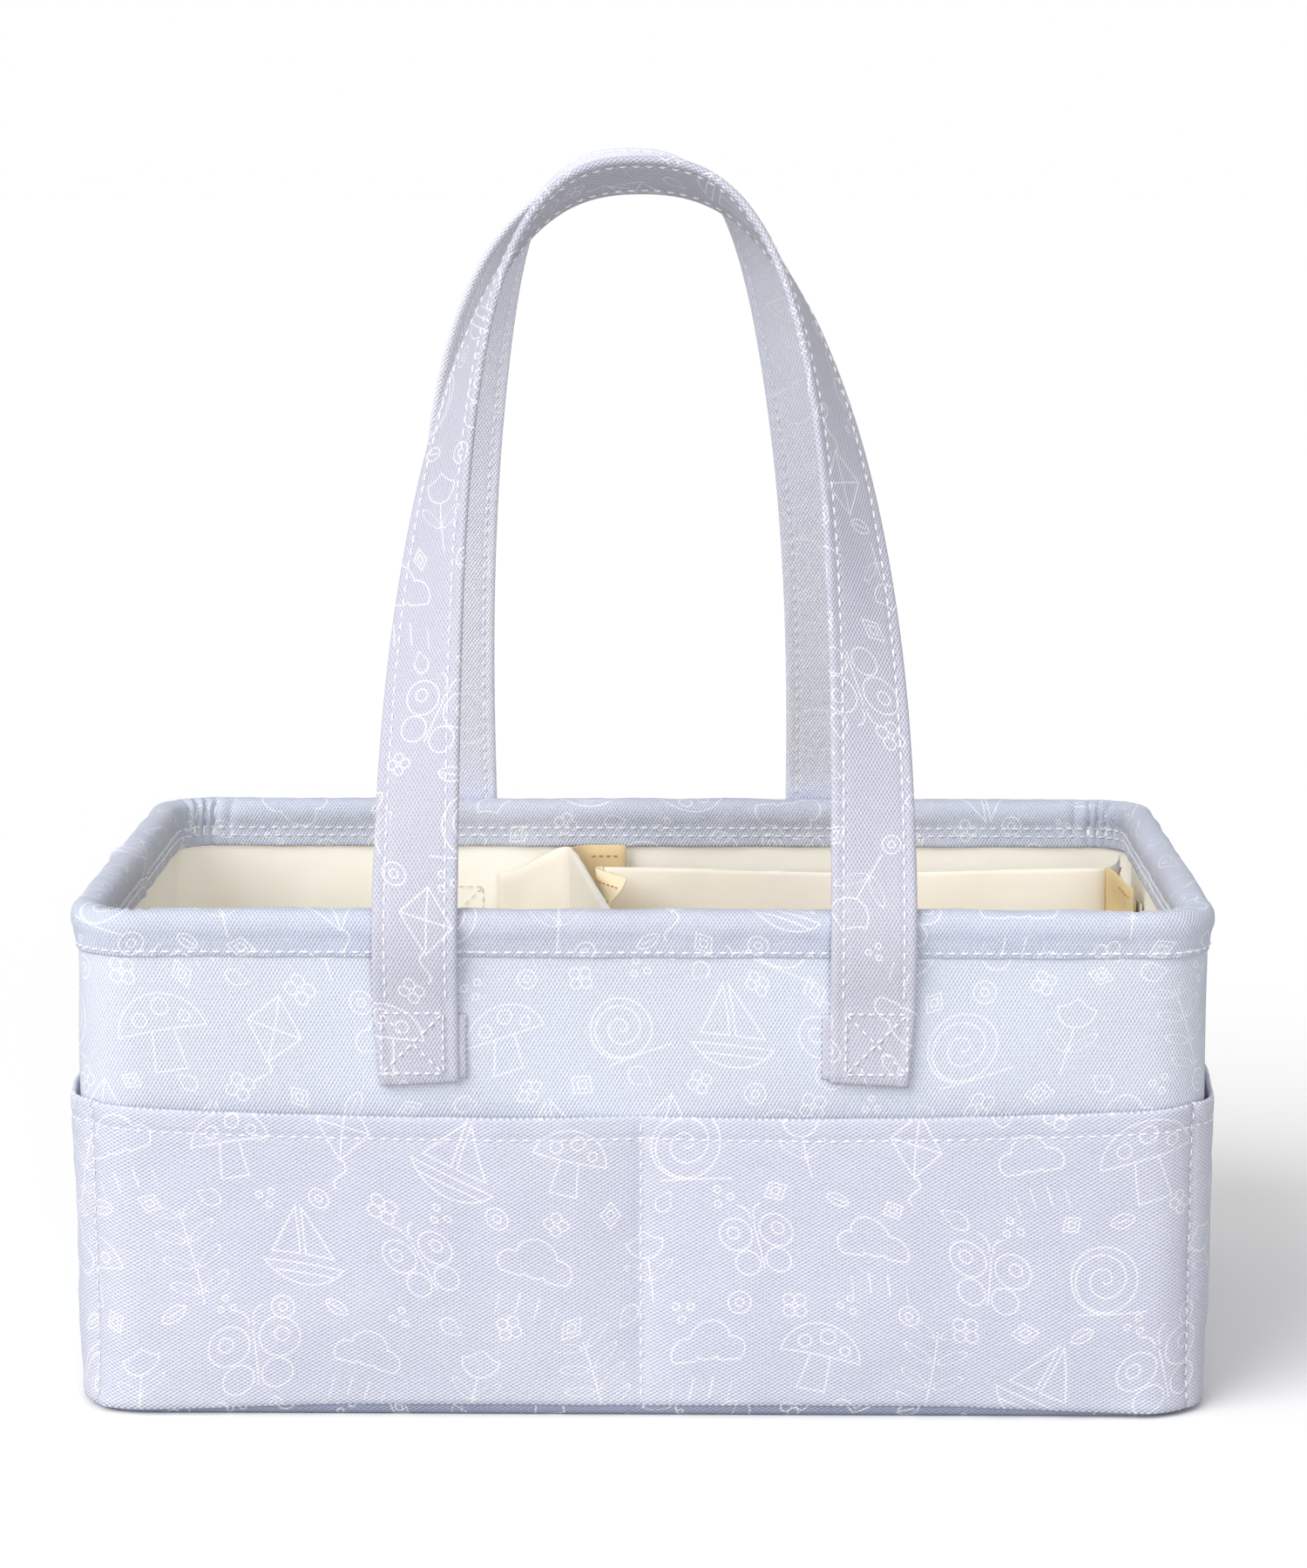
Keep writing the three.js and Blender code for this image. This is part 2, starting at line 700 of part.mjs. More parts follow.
function addLongDivider() {
  const { forward, toCross, at } = besideCrossDivider();
  const loopGap = clearance + loopPile / 2;
  const hookGap = loopGap + loopPile / 2 + clearance + hookThickness / 2;
  const flapGap = hookGap + hookThickness / 2 + clearance + flapThickness / 2;
  const turnLine = at(0, flapGap + longCrossTurn);
  const leftEnd = turnLine.clone()
    .addScaledVector(forward, (longDividerY - turnLine.y) / forward.y);
  const rightEnd = new THREE.Vector2(wallFaceX - flapTurn, longDividerY);
  const longPath = (from, to, top) => range(flatSteps).map((share) => ({
    x: from + (to - from) * share, y: longDividerY, top,
  }));
  const wallFlap = (side) => ({
    along: new THREE.Vector2(0, side), turn: flapTurn, length: longFlapLength, droop: longFlapDroop,
  });
  const crossFlap = { along: forward, turn: longCrossTurn, length: longFlapLength, droop: 0 };
  const flaps = [
    ...endFlaps(rightEnd, new THREE.Vector2(1, 0), [wallFlap(-1), wallFlap(1)]),
    ...endFlaps(leftEnd, toCross, [crossFlap]),
  ];
  place('long_divider_cover', united(sleeve(longPath, leftEnd.x, rightEnd.x), ...flaps),
    'dividerNylon');
  place('long_divider_board', boardInside(longPath, leftEnd.x, rightEnd.x), 'stiffBoard');

  const patchRun = longFlapLength - patchWidth / 2;
  patchPair('long_divider_wall_hook', 'lining_right_loop', walls.right,
    longDividerY - patchRun);
  const crossPatch = (gap, thickness) => patch(at(patchRun - patchWidth / 2, gap),
    at(patchRun + patchWidth / 2, gap), thickness);
  place('long_divider_cross_hook', crossPatch(hookGap, hookThickness), 'hookTape');
  place('cross_divider_loop', crossPatch(loopGap, loopPile), 'liningNylon');
}

addShell();
addBoards();
addLining();
addRim();
addPockets();
addHandles();
addCrossDivider();
addLongDivider();

export default caddy;
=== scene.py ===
# %% [markdown]
# # A canvas caddy for nappies and baby things
#
# The caddy is a box of printed canvas around stiff boards. A band of pockets runs round it,
# a rolled canvas binding finishes its rim, two strap handles lean together over it, and two
# nylon dividers stand in it. This lesson dresses the caddy's plain working model in cloth.
#
# Everything is in metres. The origin is the middle of the base, +X runs to the right, +Z is
# up, and the front wall faces -Y.

# %% Load the working model
import json
import math
from functools import partial

import bmesh
import bpy
import numpy as np
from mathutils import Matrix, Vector


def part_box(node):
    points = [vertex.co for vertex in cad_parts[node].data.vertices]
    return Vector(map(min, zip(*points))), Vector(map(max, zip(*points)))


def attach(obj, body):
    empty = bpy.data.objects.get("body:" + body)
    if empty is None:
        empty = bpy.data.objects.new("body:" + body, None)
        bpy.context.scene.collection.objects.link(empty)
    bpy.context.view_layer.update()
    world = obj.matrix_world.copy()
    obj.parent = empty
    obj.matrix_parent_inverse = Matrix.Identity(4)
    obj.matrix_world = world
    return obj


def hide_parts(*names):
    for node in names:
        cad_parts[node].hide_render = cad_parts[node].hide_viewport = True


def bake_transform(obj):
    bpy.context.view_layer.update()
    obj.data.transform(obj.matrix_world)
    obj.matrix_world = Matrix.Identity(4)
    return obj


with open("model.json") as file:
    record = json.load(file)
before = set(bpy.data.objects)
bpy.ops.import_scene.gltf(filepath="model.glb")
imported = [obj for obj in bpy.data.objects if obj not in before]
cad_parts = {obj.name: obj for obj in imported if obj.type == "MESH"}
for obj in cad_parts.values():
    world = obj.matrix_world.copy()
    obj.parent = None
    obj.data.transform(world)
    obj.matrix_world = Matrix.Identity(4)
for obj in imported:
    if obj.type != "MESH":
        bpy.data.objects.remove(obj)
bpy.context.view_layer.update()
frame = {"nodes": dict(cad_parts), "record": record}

# %% [markdown]
# ## Sizes
#
# Cloth pieces have to sit exactly on what they stand for, so the main sizes are read from
# the working model's own pieces. Only what a box cannot tell, such as a corner's radius or
# the thickness of the canvas, is written here as a value.
#
# A place across a wall is called a reach. It is 0 on the outer face of the canvas wrap, and
# positive away from the caddy.

# %% The sizes of the box
MM = 0.001
CANVAS = 1.2 * MM
NYLON = 0.8 * MM
GAP = 0.3 * MM
CORNER_RADIUS = 21 * MM
WALL_TAPER = 1.3 * MM

wrap_low, wrap_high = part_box("outer_wrap")
half_length, half_depth, wall_top = wrap_high
rim_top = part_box("rim_binding")[1].z
base_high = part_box("base_canvas")[1]
lining_low, lining_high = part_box("lining_wall")
floor_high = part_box("lining_floor")[1]
pocket_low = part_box("front_pocket")[0]

flat_x = half_length - CORNER_RADIUS
flat_y = half_depth - CORNER_RADIUS
lining_reach = lining_high.x - half_length - NYLON
print("half length", round(half_length, 4), "half depth", round(half_depth, 4),
      "inner face of the lining", round(lining_reach, 4))

# %% [markdown]
# ## Walking round the box
#
# Most of the cloth here runs round the box: the wrap, the lining, the rim and the pockets.
# Each is easiest to shape as a strip, with one number for the run along a wall and one for
# the height. These helpers turn such a pair into a point in space. Past the flat part of a
# wall the run goes on round the corner, so a strip is never stretched there.

# %% From a run along a wall to a point
WALLS = {
    "front": (-math.pi / 2, half_depth, flat_x),
    "right": (0.0, half_length, flat_y),
    "back": (math.pi / 2, half_depth, flat_x),
    "left": (math.pi, half_length, flat_y),
}
half_corner = CORNER_RADIUS * math.pi / 4
POCKET_TOP = 103.5 * MM


def half_run(wall):
    return WALLS[wall][2] + half_corner


def along_wall(wall, run):
    """The place on the wrap and the way out, at a run from the middle of a wall."""
    angle, distance, flat = WALLS[wall]
    turn = np.sign(run) * np.maximum(np.abs(run) - flat, 0) / CORNER_RADIUS
    out = np.stack([np.cos(angle + turn), np.sin(angle + turn)], -1)
    ahead = np.array([math.cos(angle), math.sin(angle)])
    side = np.array([-math.sin(angle), math.cos(angle)])
    centre = ahead * (distance - CORNER_RADIUS) + np.clip(run, -flat, flat)[..., None] * side
    return centre + CORNER_RADIUS * out, out


wall_middles = {}
wall_start = -half_run("front")
for wall in WALLS:
    wall_middles[wall] = wall_start + half_run(wall)
    wall_start += 2 * half_run(wall)
perimeter = wall_start + half_run("front")
seam_run = wall_middles["left"]


def around(run):
    """The same, at a run round the whole box, from the middle of the front wall."""
    run = np.mod(run + half_run("front"), perimeter) - half_run("front")
    place = np.zeros(run.shape + (2,))
    out = np.zeros(run.shape + (2,))
    for wall, middle in wall_middles.items():
        here = np.abs(run - middle) <= half_run(wall) + 1e-9
        spot, way = along_wall(wall, np.where(here, run - middle, 0))
        place = np.where(here[..., None], spot, place)
        out = np.where(here[..., None], way, out)
    return place, out


def taper(height):
    """The walls draw in a little below the pockets' top."""
    return -WALL_TAPER * (1 - np.clip(height / POCKET_TOP, 0, 1))


def lifted(flat_place, out, reach, height):
    """Points at a reach and a height, from places in plan."""
    xy = flat_place + out * (reach + taper(height))[..., None]
    return np.concatenate([xy, np.broadcast_to(height, xy.shape[:-1])[..., None]], -1)


print("round the box:", round(perimeter, 4), "m")

# %% [markdown]
# ## Unevenness
#
# Sewn cloth is never quite flat. A few slow waves in different directions, added up, give a
# soft unevenness that is the same at each run, because the random numbers have a seed. For
# cloth that closes on itself the waves fit the length of the loop a whole number of times.

# %% Soft waves
def ripples(u, v, longest, seed, loop=None, count=9):
    """A soft unevenness of about -1 to 1."""
    rng = np.random.default_rng(seed)
    total = np.zeros(np.broadcast(u, v).shape)
    for _ in range(count):
        length = longest * rng.uniform(0.35, 1)
        heading = rng.uniform(0, 2 * math.pi)
        along_u = math.cos(heading) / length
        if loop:
            along_u = round(along_u * loop) / loop
        along_v = math.sin(heading) / length
        total = total + np.sin(2 * math.pi * (along_u * u + along_v * v + rng.uniform()))
    return total / math.sqrt(2 * count)


def smooth(share):
    share = np.clip(share, 0, 1)
    return share * share * (3 - 2 * share)


def bump(distance, width):
    """A soft hump of height 1 around 0."""
    return np.exp(-(distance / width) ** 2)


# %% [markdown]
# ## A sheet of cloth with thickness
#
# Cloth could be one face with a Solidify modifier. Here the two faces are built in code,
# because then the thickness can differ, as in a hem of two layers, and each open edge gets
# a rounded fold. The texture coordinates are the cloth's own length and height in metres,
# so a weave or a print follows the cloth round each bend.

# %% Vectors and meshes
def unit(vectors):
    return vectors / np.maximum(np.linalg.norm(vectors, axis=-1, keepdims=True), 1e-12)


def grid_normals(points, closed):
    """The way out of a grid of points, columns first."""
    if closed:
        ring = points[:-1]
        across = np.roll(ring, -1, 0) - np.roll(ring, 1, 0)
        across = np.concatenate([across, across[:1]])
    else:
        across = np.gradient(points, axis=0)
    up = np.gradient(points, axis=1)
    return unit(np.cross(across, up))


def mesh_object(name, vertices, faces, loop_uv, material):
    mesh = bpy.data.meshes.new(name)
    mesh.from_pydata(vertices.tolist(), [], faces.tolist())
    layer = mesh.uv_layers.new(name="cloth")
    layer.data.foreach_set("uv", loop_uv.astype(np.float32).ravel())
    mesh.shade_smooth()
    mesh.materials.append(material)
    obj = bpy.data.objects.new(name, mesh)
    bpy.context.collection.objects.link(obj)
    return obj


def steps(start, end, size):
    """Even steps from start to end, of about the given size."""
    return np.linspace(start, end, max(2, round(abs(end - start) / size) + 1))


# %% A cloth with two faces and folded edges
def cloth_mesh(name, points, uv, thickness, material, closed=False, fold=0.3):
    """A cloth whose outer face has these points, an array of columns by rows by 3.

    The edges bulge out by the fold, a share of the thickness.
    """
    columns, rows = points.shape[:2]
    used = columns - 1 if closed else columns
    thick = np.broadcast_to(thickness, (columns, rows))[..., None]
    inner = points - grid_normals(points, closed) * thick
    middle = (points + inner) / 2
    spill = np.zeros_like(points)
    up = unit(np.gradient(points, axis=1))
    spill[:, 0] -= up[:, 0]
    spill[:, -1] += up[:, -1]
    if not closed:
        across = unit(np.gradient(points, axis=0))
        spill[0] -= across[0]
        spill[-1] += across[-1]
    middle = middle + spill * thick * fold

    grids = [grid[:used].reshape(-1, 3) for grid in (points, inner, middle)]
    vertices = np.concatenate(grids)
    number = np.arange(used * rows).reshape(used, rows)
    if closed:
        number = np.concatenate([number, number[:1]])
    layer = used * rows
    faces, loop_uv = [], []

    def add(grid_a, grid_b, uv_a, uv_b):
        quads = np.stack([grid_a[:-1], grid_a[1:], grid_b[1:], grid_b[:-1]], -1)
        corner_uv = np.stack([uv_a[:-1], uv_a[1:], uv_b[1:], uv_b[:-1]], -2)
        faces.append(quads.reshape(-1, 4))
        loop_uv.append(corner_uv.reshape(-1, 2))

    def fold_edge(outer, edge_uv, order):
        inside, folded = outer + layer, outer + 2 * layer
        for a, b in ((folded, outer), (inside, folded)):
            first, second = (a, b) if order > 0 else (b, a)
            add(first, second, edge_uv, edge_uv)

    for k in range(rows - 1):
        low, high = number[:, k], number[:, k + 1]
        add(low, high, uv[:, k], uv[:, k + 1])
        add(high + layer, low + layer, uv[:, k + 1], uv[:, k])
    fold_edge(number[:, 0], uv[:, 0], 1)
    fold_edge(number[:, -1], uv[:, -1], -1)
    if not closed:
        fold_edge(number[0], uv[0], -1)
        fold_edge(number[-1], uv[-1], 1)
    obj = mesh_object(name, vertices, np.concatenate(faces), np.concatenate(loop_uv), material)
    return without_loose_points(obj)


# %% Clean meshes, and saying what each piece is
def without_loose_points(obj):
    """Points that no face uses are taken out."""
    mesh = obj.data
    corner_points = np.zeros(len(mesh.loops), np.int32)
    mesh.loops.foreach_get("vertex_index", corner_points)
    used = np.zeros(len(mesh.vertices), bool)
    used[corner_points] = True
    if not used.all():
        bm = bmesh.new()
        bm.from_mesh(mesh)
        bm.verts.ensure_lookup_table()
        bmesh.ops.delete(bm, geom=[bm.verts[i] for i in np.flatnonzero(~used)], context="VERTS")
        bm.to_mesh(mesh)
        bm.free()
    return obj


def dress(obj, body, slot_name, *nodes):
    """The piece rides on a body and stands for its nodes. The name of its finish is not used."""
    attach(obj, body)
    if nodes:
        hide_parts(*nodes)
    print(f"{obj.name}: {len(obj.data.polygons)} faces, on {body}")
    return obj


# %% [markdown]
# ## Formulas in materials
#
# A print of line drawings needs many small sums in the shader. Wiring each Math node by hand
# hides what it means, so this helper lets a formula be written as a formula, and makes the
# nodes for it.

# %% Math nodes from formulas
class Term:
    """A number inside a material."""

    def __init__(self, tree, socket):
        self.tree = tree
        self.socket = socket

    def op(self, operation, *others):
        node = self.tree.nodes.new("ShaderNodeMath")
        node.operation = operation
        for socket, value in zip(node.inputs, (self, *others)):
            if isinstance(value, Term):
                self.tree.links.new(value.socket, socket)
            else:
                socket.default_value = value
        return Term(self.tree, node.outputs[0])

    def __add__(self, other):
        return self.op("ADD", other)

    def __sub__(self, other):
        return self.op("SUBTRACT", other)

    def __mul__(self, other):
        return self.op("MULTIPLY", other)

    def __truediv__(self, other):
        return self.op("DIVIDE", other)

    def __neg__(self):
        return self.op("MULTIPLY", -1.0)

    def __abs__(self):
        return self.op("ABSOLUTE")

    def root(self):
        return self.op("SQRT")

    def least(self, other):
        return self.op("MINIMUM", other)

    def most(self, other):
        return self.op("MAXIMUM", other)


def length(x, y):
    return (x * x + y * y).root()


def soft_step(term, low, high):
    """0 below low, 1 above high, and smooth between them."""
    node = term.tree.nodes.new("ShaderNodeMapRange")
    node.interpolation_type = "SMOOTHSTEP"
    term.tree.links.new(term.socket, node.inputs["Value"])
    node.inputs["From Min"].default_value = low
    node.inputs["From Max"].default_value = high
    return Term(term.tree, node.outputs["Result"])


# %% [markdown]
# ## The print
#
# The canvas is printed all over with small drawings in thin white lines. An image could hold
# them, but lines worked out in the shader stay sharp at every distance. Each drawing is a
# distance from its own outline, in a square that runs from about -1 to 1. The large ones lie
# in a brick pattern, and small ones fill the places where three bricks meet. A brick's place
# and random numbers pick its drawing, move it a little and tilt it, so it never lines up.

# %% Large drawings
def upright(x, y, left, low, high):
    """A straight line from low to high."""
    return abs(x - left).most(abs(y - (low + high) / 2) - (high - low) / 2)


def ring(x, y, left, up, radius):
    return abs(length(x - left, y - up) - radius)


def drawing_rain_cloud(x, y):
    puffs = (length(x, y - 0.42) - 0.4).least(length(abs(x) - 0.44, y - 0.2) - 0.28)
    drops = abs((x * 2.6).op("FRACT") - 0.5) / 2.6
    drops = drops.most(abs(y + abs(x) * 0.3 + 0.5) - 0.2).most(abs(x) - 0.56)
    return abs(puffs.most(-y)).least(drops)


def drawing_boat(x, y):
    hull = (length(x, y - 0.2) - 0.86).most(y + 0.26)
    wide = abs(x) - 0.05
    sails = (wide / 0.52 + (y + 0.08) / 0.9 - 1.0) * 0.42
    sails = sails.most(-wide).most(-y - 0.08)
    return abs(hull).least(abs(sails)).least(abs(y + 0.44).most(abs(x) - 0.56))


def drawing_tulip(x, y):
    cup = (length(x, y - 0.42) - 0.38).most(y - 0.62 + abs((x * 4.1).op("SINE")) * 0.2)
    leaves = abs(length((abs(x) - 0.26) * 1.1, (y + 0.42 - abs(x) * 0.7) * 2.3) - 0.26)
    return abs(cup).least(upright(x, y, 0.0, -0.86, 0.04)).least(leaves)


def drawing_toadstool(x, y):
    cap = (length(x, y * 1.1 + 0.08) - 0.82).most(-y)
    stem = (abs(x) + y * 0.12 - 0.2).most(abs(y + 0.38) - 0.38)
    spots = ring(x, y, -0.36, 0.24, 0.13).least(ring(x, y, 0.08, 0.42, 0.15))
    return abs(cap).least(abs(stem)).least(spots.least(ring(x, y, 0.47, 0.2, 0.1)))


def drawing_butterfly(x, y):
    wide = abs(x)
    wings = ring(wide, y, 0.45, 0.3, 0.36).least(ring(wide, y, 0.34, -0.36, 0.27))
    spots = ring(wide, y, 0.5, 0.34, 0.13)
    feelers = ring(wide, y, 0.3, 0.66, 0.26).most(wide - 0.24).most(-y + 0.6)
    return wings.least(spots).least(upright(x, y, 0.0, -0.52, 0.5)).least(feelers)


def drawing_kite(x, y):
    up = y - 0.26
    edge = abs(x) * 0.8 + abs(up) * 0.6 - 0.4
    spars = abs(x).least(abs(up)).most(edge)
    tail = abs(x - (y * 9.0).op("SINE") * 0.11).most(abs(y + 0.68) - 0.28) * 0.75
    return abs(edge).least(abs(spars)).least(tail)


def drawing_sprig(x, y):
    part = ((y - abs(x) * 0.5) * 2.1).op("FRACT") - 0.5
    leaves = abs(length((abs(x) - 0.3) * 0.95, part * 1.15) - 0.23).most(abs(y - 0.1) - 0.84)
    return leaves.least(upright(x, y, 0.0, -0.9, 0.82))


def drawing_shell(x, y):
    r = length(x, y)
    turn = y.op("ARCTAN2", x) / (2 * math.pi)
    coil = abs((r * 3.4 - turn).op("FRACT") - 0.5) / 3.4
    foot = abs(y + 0.7).most(abs(x - 0.2) - 0.7)
    return coil.most(r - 0.68).least(abs(r - 0.68)).least(foot)


# %% Small drawings
def drawing_rings(x, y):
    r = length(x, y)
    return abs(r - 0.7).least(abs(r - 0.26))


def drawing_drop(x, y):
    return abs(length(x * (y.most(0.0) * 1.9 + 1.2), y * 0.86) - 0.66)


def drawing_leaf(x, y):
    blade = length(x - 0.55, y).most(length(x + 0.55, y)) - 1.0
    return abs(blade).least(upright(x, y, 0.0, -0.6, 0.4))


def drawing_clover(x, y):
    return abs((length(abs(x) - 0.36, abs(y) - 0.36)) - 0.36)


def drawing_dots(x, y):
    return abs(length(abs(x) - 0.44, y + 0.26) - 0.2).least(ring(x, y, 0.0, 0.48, 0.2))


def drawing_diamond(x, y):
    edge = abs(x) * 0.8 + abs(y) * 0.6 - 0.5
    return abs(edge).least(abs(edge + 0.27))


LARGE = [drawing_rain_cloud, drawing_boat, drawing_tulip, drawing_toadstool,
         drawing_butterfly, drawing_kite, drawing_sprig, drawing_shell]
SMALL = [drawing_rings, drawing_drop, drawing_leaf, drawing_clover, drawing_dots,
         drawing_diamond]


# %% Scattering the drawings
def make_print_group(name, drawings, tilt, wander):
    """A node group: how far a place on the cloth is from the nearest drawn line, in metres."""
    tree = bpy.data.node_groups.new(name, "ShaderNodeTree")
    for label in ("Across", "Up", "Wide", "Tall", "Brick", "Size", "Seed"):
        tree.interface.new_socket(label, in_out="INPUT", socket_type="NodeSocketFloat")
    tree.interface.new_socket("Distance", in_out="OUTPUT", socket_type="NodeSocketFloat")
    entry = tree.nodes.new("NodeGroupInput")
    across, up, wide, tall, brick, size, seed = (Term(tree, entry.outputs[i])
                                                 for i in range(7))
    rows = up / tall
    row = rows.op("FLOOR")
    columns = across / wide + row * brick
    column = columns.op("FLOOR")

    where = tree.nodes.new("ShaderNodeCombineXYZ")
    for socket, value in zip(where.inputs, (column, row, seed)):
        tree.links.new(value.socket, socket)
    chance = tree.nodes.new("ShaderNodeTexWhiteNoise")
    tree.links.new(where.outputs[0], chance.inputs["Vector"])
    split = tree.nodes.new("ShaderNodeSeparateColor")
    tree.links.new(chance.outputs["Color"], split.inputs[0])
    first, second, third = (Term(tree, split.outputs[i]) for i in range(3))

    radius = size * (second * 0.24 + 0.76)
    x = ((columns - column - 0.5) * wide + (third - 0.5) * wander) / radius
    y = ((rows - row - 0.5) * tall + (first - 0.5) * wander) / radius
    turn = (third - 0.5) * tilt
    cosine, sine = turn.op("COSINE"), turn.op("SINE")
    turned_x = x * cosine - y * sine
    turned_y = x * sine + y * cosine
    number = (column * 0.377 + row * 0.231 + first * 0.2).op("FRACT") * float(len(drawings))
    nearest = drawings[0](turned_x, turned_y)
    for i, drawing in enumerate(drawings[1:], 1):
        chosen = number.op("GREATER_THAN", float(i))
        nearest = nearest + (drawing(turned_x, turned_y) - nearest) * chosen
    leave = tree.nodes.new("NodeGroupOutput")
    tree.links.new((nearest * radius).socket, leave.inputs["Distance"])
    print(name, "has", len(drawings), "drawings and", len(tree.nodes), "nodes")
    return tree


large_print = make_print_group("large_drawings", LARGE, 0.8, 3 * MM)
small_print = make_print_group("small_drawings", SMALL, 5.0, 2.5 * MM)

# %% [markdown]
# ## The canvas
#
# Canvas is a plain weave. Each warp thread passes over one weft and under the next, so its
# raised places make a pattern of bricks, about 1.1 mm one way and 0.64 mm the other. That
# relief goes to the bump, and also to the colour as painted shade: the hollows are painted
# darker and the raised threads lighter. The lines of the print sit on the raised threads and
# skip the hollows, which is why they look slightly broken from near.
#
# The walls and the pockets differ a little in tone. The rim and the base are painted darker
# as shade, the base the darkest, as its edge curves under at the floor. The front strap is
# painted darker and the back strap the lightest, as painted light and shade: the front strap
# faces the lamps, and the back strap's seen face turns down away from them.

# %% Sizes of the weave and the print
WARP = 1.1 * MM
WEFT = 0.64 * MM
PRINT_WIDE = 38 * MM
PRINT_TALL = 37 * MM
LARGE_SIZE = 19.5 * MM
SMALL_SIZE = 5.8 * MM
LINE_HALF_WIDTH = 0.26 * MM
WAVE_UP = 5 * MM
WAVE_ACROSS = 4 * MM
print("brick of the print:", PRINT_WIDE, "x", PRINT_TALL, "m")


# %% Colours, nodes and relief
def srgb(red, green, blue):
    """A colour as a picture program gives it, from 0 to 255, as the shader needs it."""
    def linear(c):
        c = c / 255
        return c / 12.92 if c <= 0.04045 else ((c + 0.055) / 1.055) ** 2.4
    return (linear(red), linear(green), linear(blue), 1.0)


def new_material(name):
    material = bpy.data.materials.new(name)
    material.use_nodes = True
    tree = material.node_tree
    shader = tree.nodes["Principled BSDF"]
    return material, tree, shader


def set_inputs(node, **values):
    """Sets a node's inputs by their names, with _ for each space."""
    for key, value in values.items():
        node.inputs[key.replace("_", " ")].default_value = value
    return node


def add_node(tree, kind, **values):
    return set_inputs(tree.nodes.new(kind), **values)


def noise(tree, vector, size, detail=2.0):
    """Noise whose lumps are about the given size in metres."""
    node = add_node(tree, "ShaderNodeTexNoise", Scale=1 / size, Detail=detail)
    tree.links.new(vector, node.inputs["Vector"])
    return Term(tree, node.outputs["Fac"])


def object_place(tree):
    return tree.nodes.new("ShaderNodeTexCoord").outputs["Object"]


def cloth_place(tree):
    """The cloth's own coordinates, and the place on the object."""
    uv = tree.nodes.new("ShaderNodeUVMap")
    uv.uv_map = "cloth"
    split = tree.nodes.new("ShaderNodeSeparateXYZ")
    tree.links.new(uv.outputs["UV"], split.inputs[0])
    across, up = Term(tree, split.outputs["X"]), Term(tree, split.outputs["Y"])
    return uv.outputs["UV"], across, up, object_place(tree)


def mixed(tree, share, first, second):
    """A colour between two, by a share."""
    node = tree.nodes.new("ShaderNodeMix")
    node.data_type = "RGBA"
    tree.links.new(share.socket, node.inputs["Factor"])
    for socket, value in ((node.inputs["A"], first), (node.inputs["B"], second)):
        if isinstance(value, tuple):
            socket.default_value = value
        else:
            tree.links.new(value, socket)
    return node.outputs["Result"]


def relief(tree, shader, layers):
    """Bump layers, each a height from 0 to 1 and its depth in metres."""
    normal = None
    for height, depth in layers:
        node = add_node(tree, "ShaderNodeBump", Strength=1.0, Distance=depth)
        tree.links.new(height.socket, node.inputs["Height"])
        if normal:
            tree.links.new(normal, node.inputs["Normal"])
        normal = node.outputs["Normal"]
    tree.links.new(normal, shader.inputs["Normal"])


def scaled(tree, colour, factor):
    """A colour made lighter or darker."""
    node = tree.nodes.new("ShaderNodeVectorMath")
    node.operation = "SCALE"
    tree.links.new(colour, node.inputs[0])
    tree.links.new(factor.socket, node.inputs["Scale"])
    return node.outputs[0]


# %% The canvas material
def lines_of_print(tree, across, up, seed):
    """How white the print is at a place: large drawings, and small ones between them.

    The rows wave a little, so the drawings don't stand in straight lines.
    """
    waved_up = up + (across * (2 * math.pi / 0.17) + seed).op("SINE") * WAVE_UP
    waved_across = across + (up * (2 * math.pi / 0.13) + seed).op("SINE") * WAVE_ACROSS

    def drawings(group, wide, size, raised, brick, extra):
        node = tree.nodes.new("ShaderNodeGroup")
        node.node_tree = group
        tree.links.new(waved_across.socket, node.inputs["Across"])
        tree.links.new((waved_up + raised).socket, node.inputs["Up"])
        for label, value in (("Wide", wide), ("Tall", PRINT_TALL), ("Brick", brick),
                             ("Size", size), ("Seed", seed + extra)):
            node.inputs[label].default_value = value
        return Term(tree, node.outputs["Distance"])

    distance = drawings(large_print, PRINT_WIDE, LARGE_SIZE, 0.0, 0.5, 0.0)
    joints = drawings(small_print, PRINT_WIDE / 2, SMALL_SIZE, PRINT_TALL / 2, 1.0, 7.0)
    distance = distance.least(joints)
    return -soft_step(distance, LINE_HALF_WIDTH * 0.5, LINE_HALF_WIDTH * 1.7) + 1.0


def canvas_material(name, body_colour, second_colour, seed, turned=False):
    material, tree, shader = new_material(name)
    uv, across, up, place = cloth_place(tree)
    along, over = (up, across) if turned else (across, up)
    weave = (along * (math.pi / WARP)).op("COSINE") * (over * (math.pi / WEFT)).op("COSINE")
    raised = weave * 0.5 + 0.5
    patches = soft_step(noise(tree, place, 0.09), 0.35, 0.65)
    slub = noise(tree, uv, 0.9 * MM)
    ground = mixed(tree, patches, body_colour, second_colour)
    # The weave's raised threads are painted lighter and its hollows darker, as painted shade; the
    # slub adds a random tone.
    shaded = scaled(tree, ground, raised * 0.4 + slub * 0.24 + 0.69)
    ink = lines_of_print(tree, across, up, seed)
    worn = ink * (raised * 0.6 + slub * 0.45)
    coloured = mixed(tree, worn.least(1.0), shaded, srgb(253, 254, 255))
    tree.links.new(coloured, shader.inputs["Base Color"])
    set_inputs(shader, Roughness=0.88, Specular_IOR_Level=0.2, Sheen_Weight=0.08,
               Sheen_Roughness=0.5)
    relief(tree, shader, [(noise(tree, place, 0.02), 0.4 * MM), (slub, 0.14 * MM),
                          (raised, 0.34 * MM)])
    return material


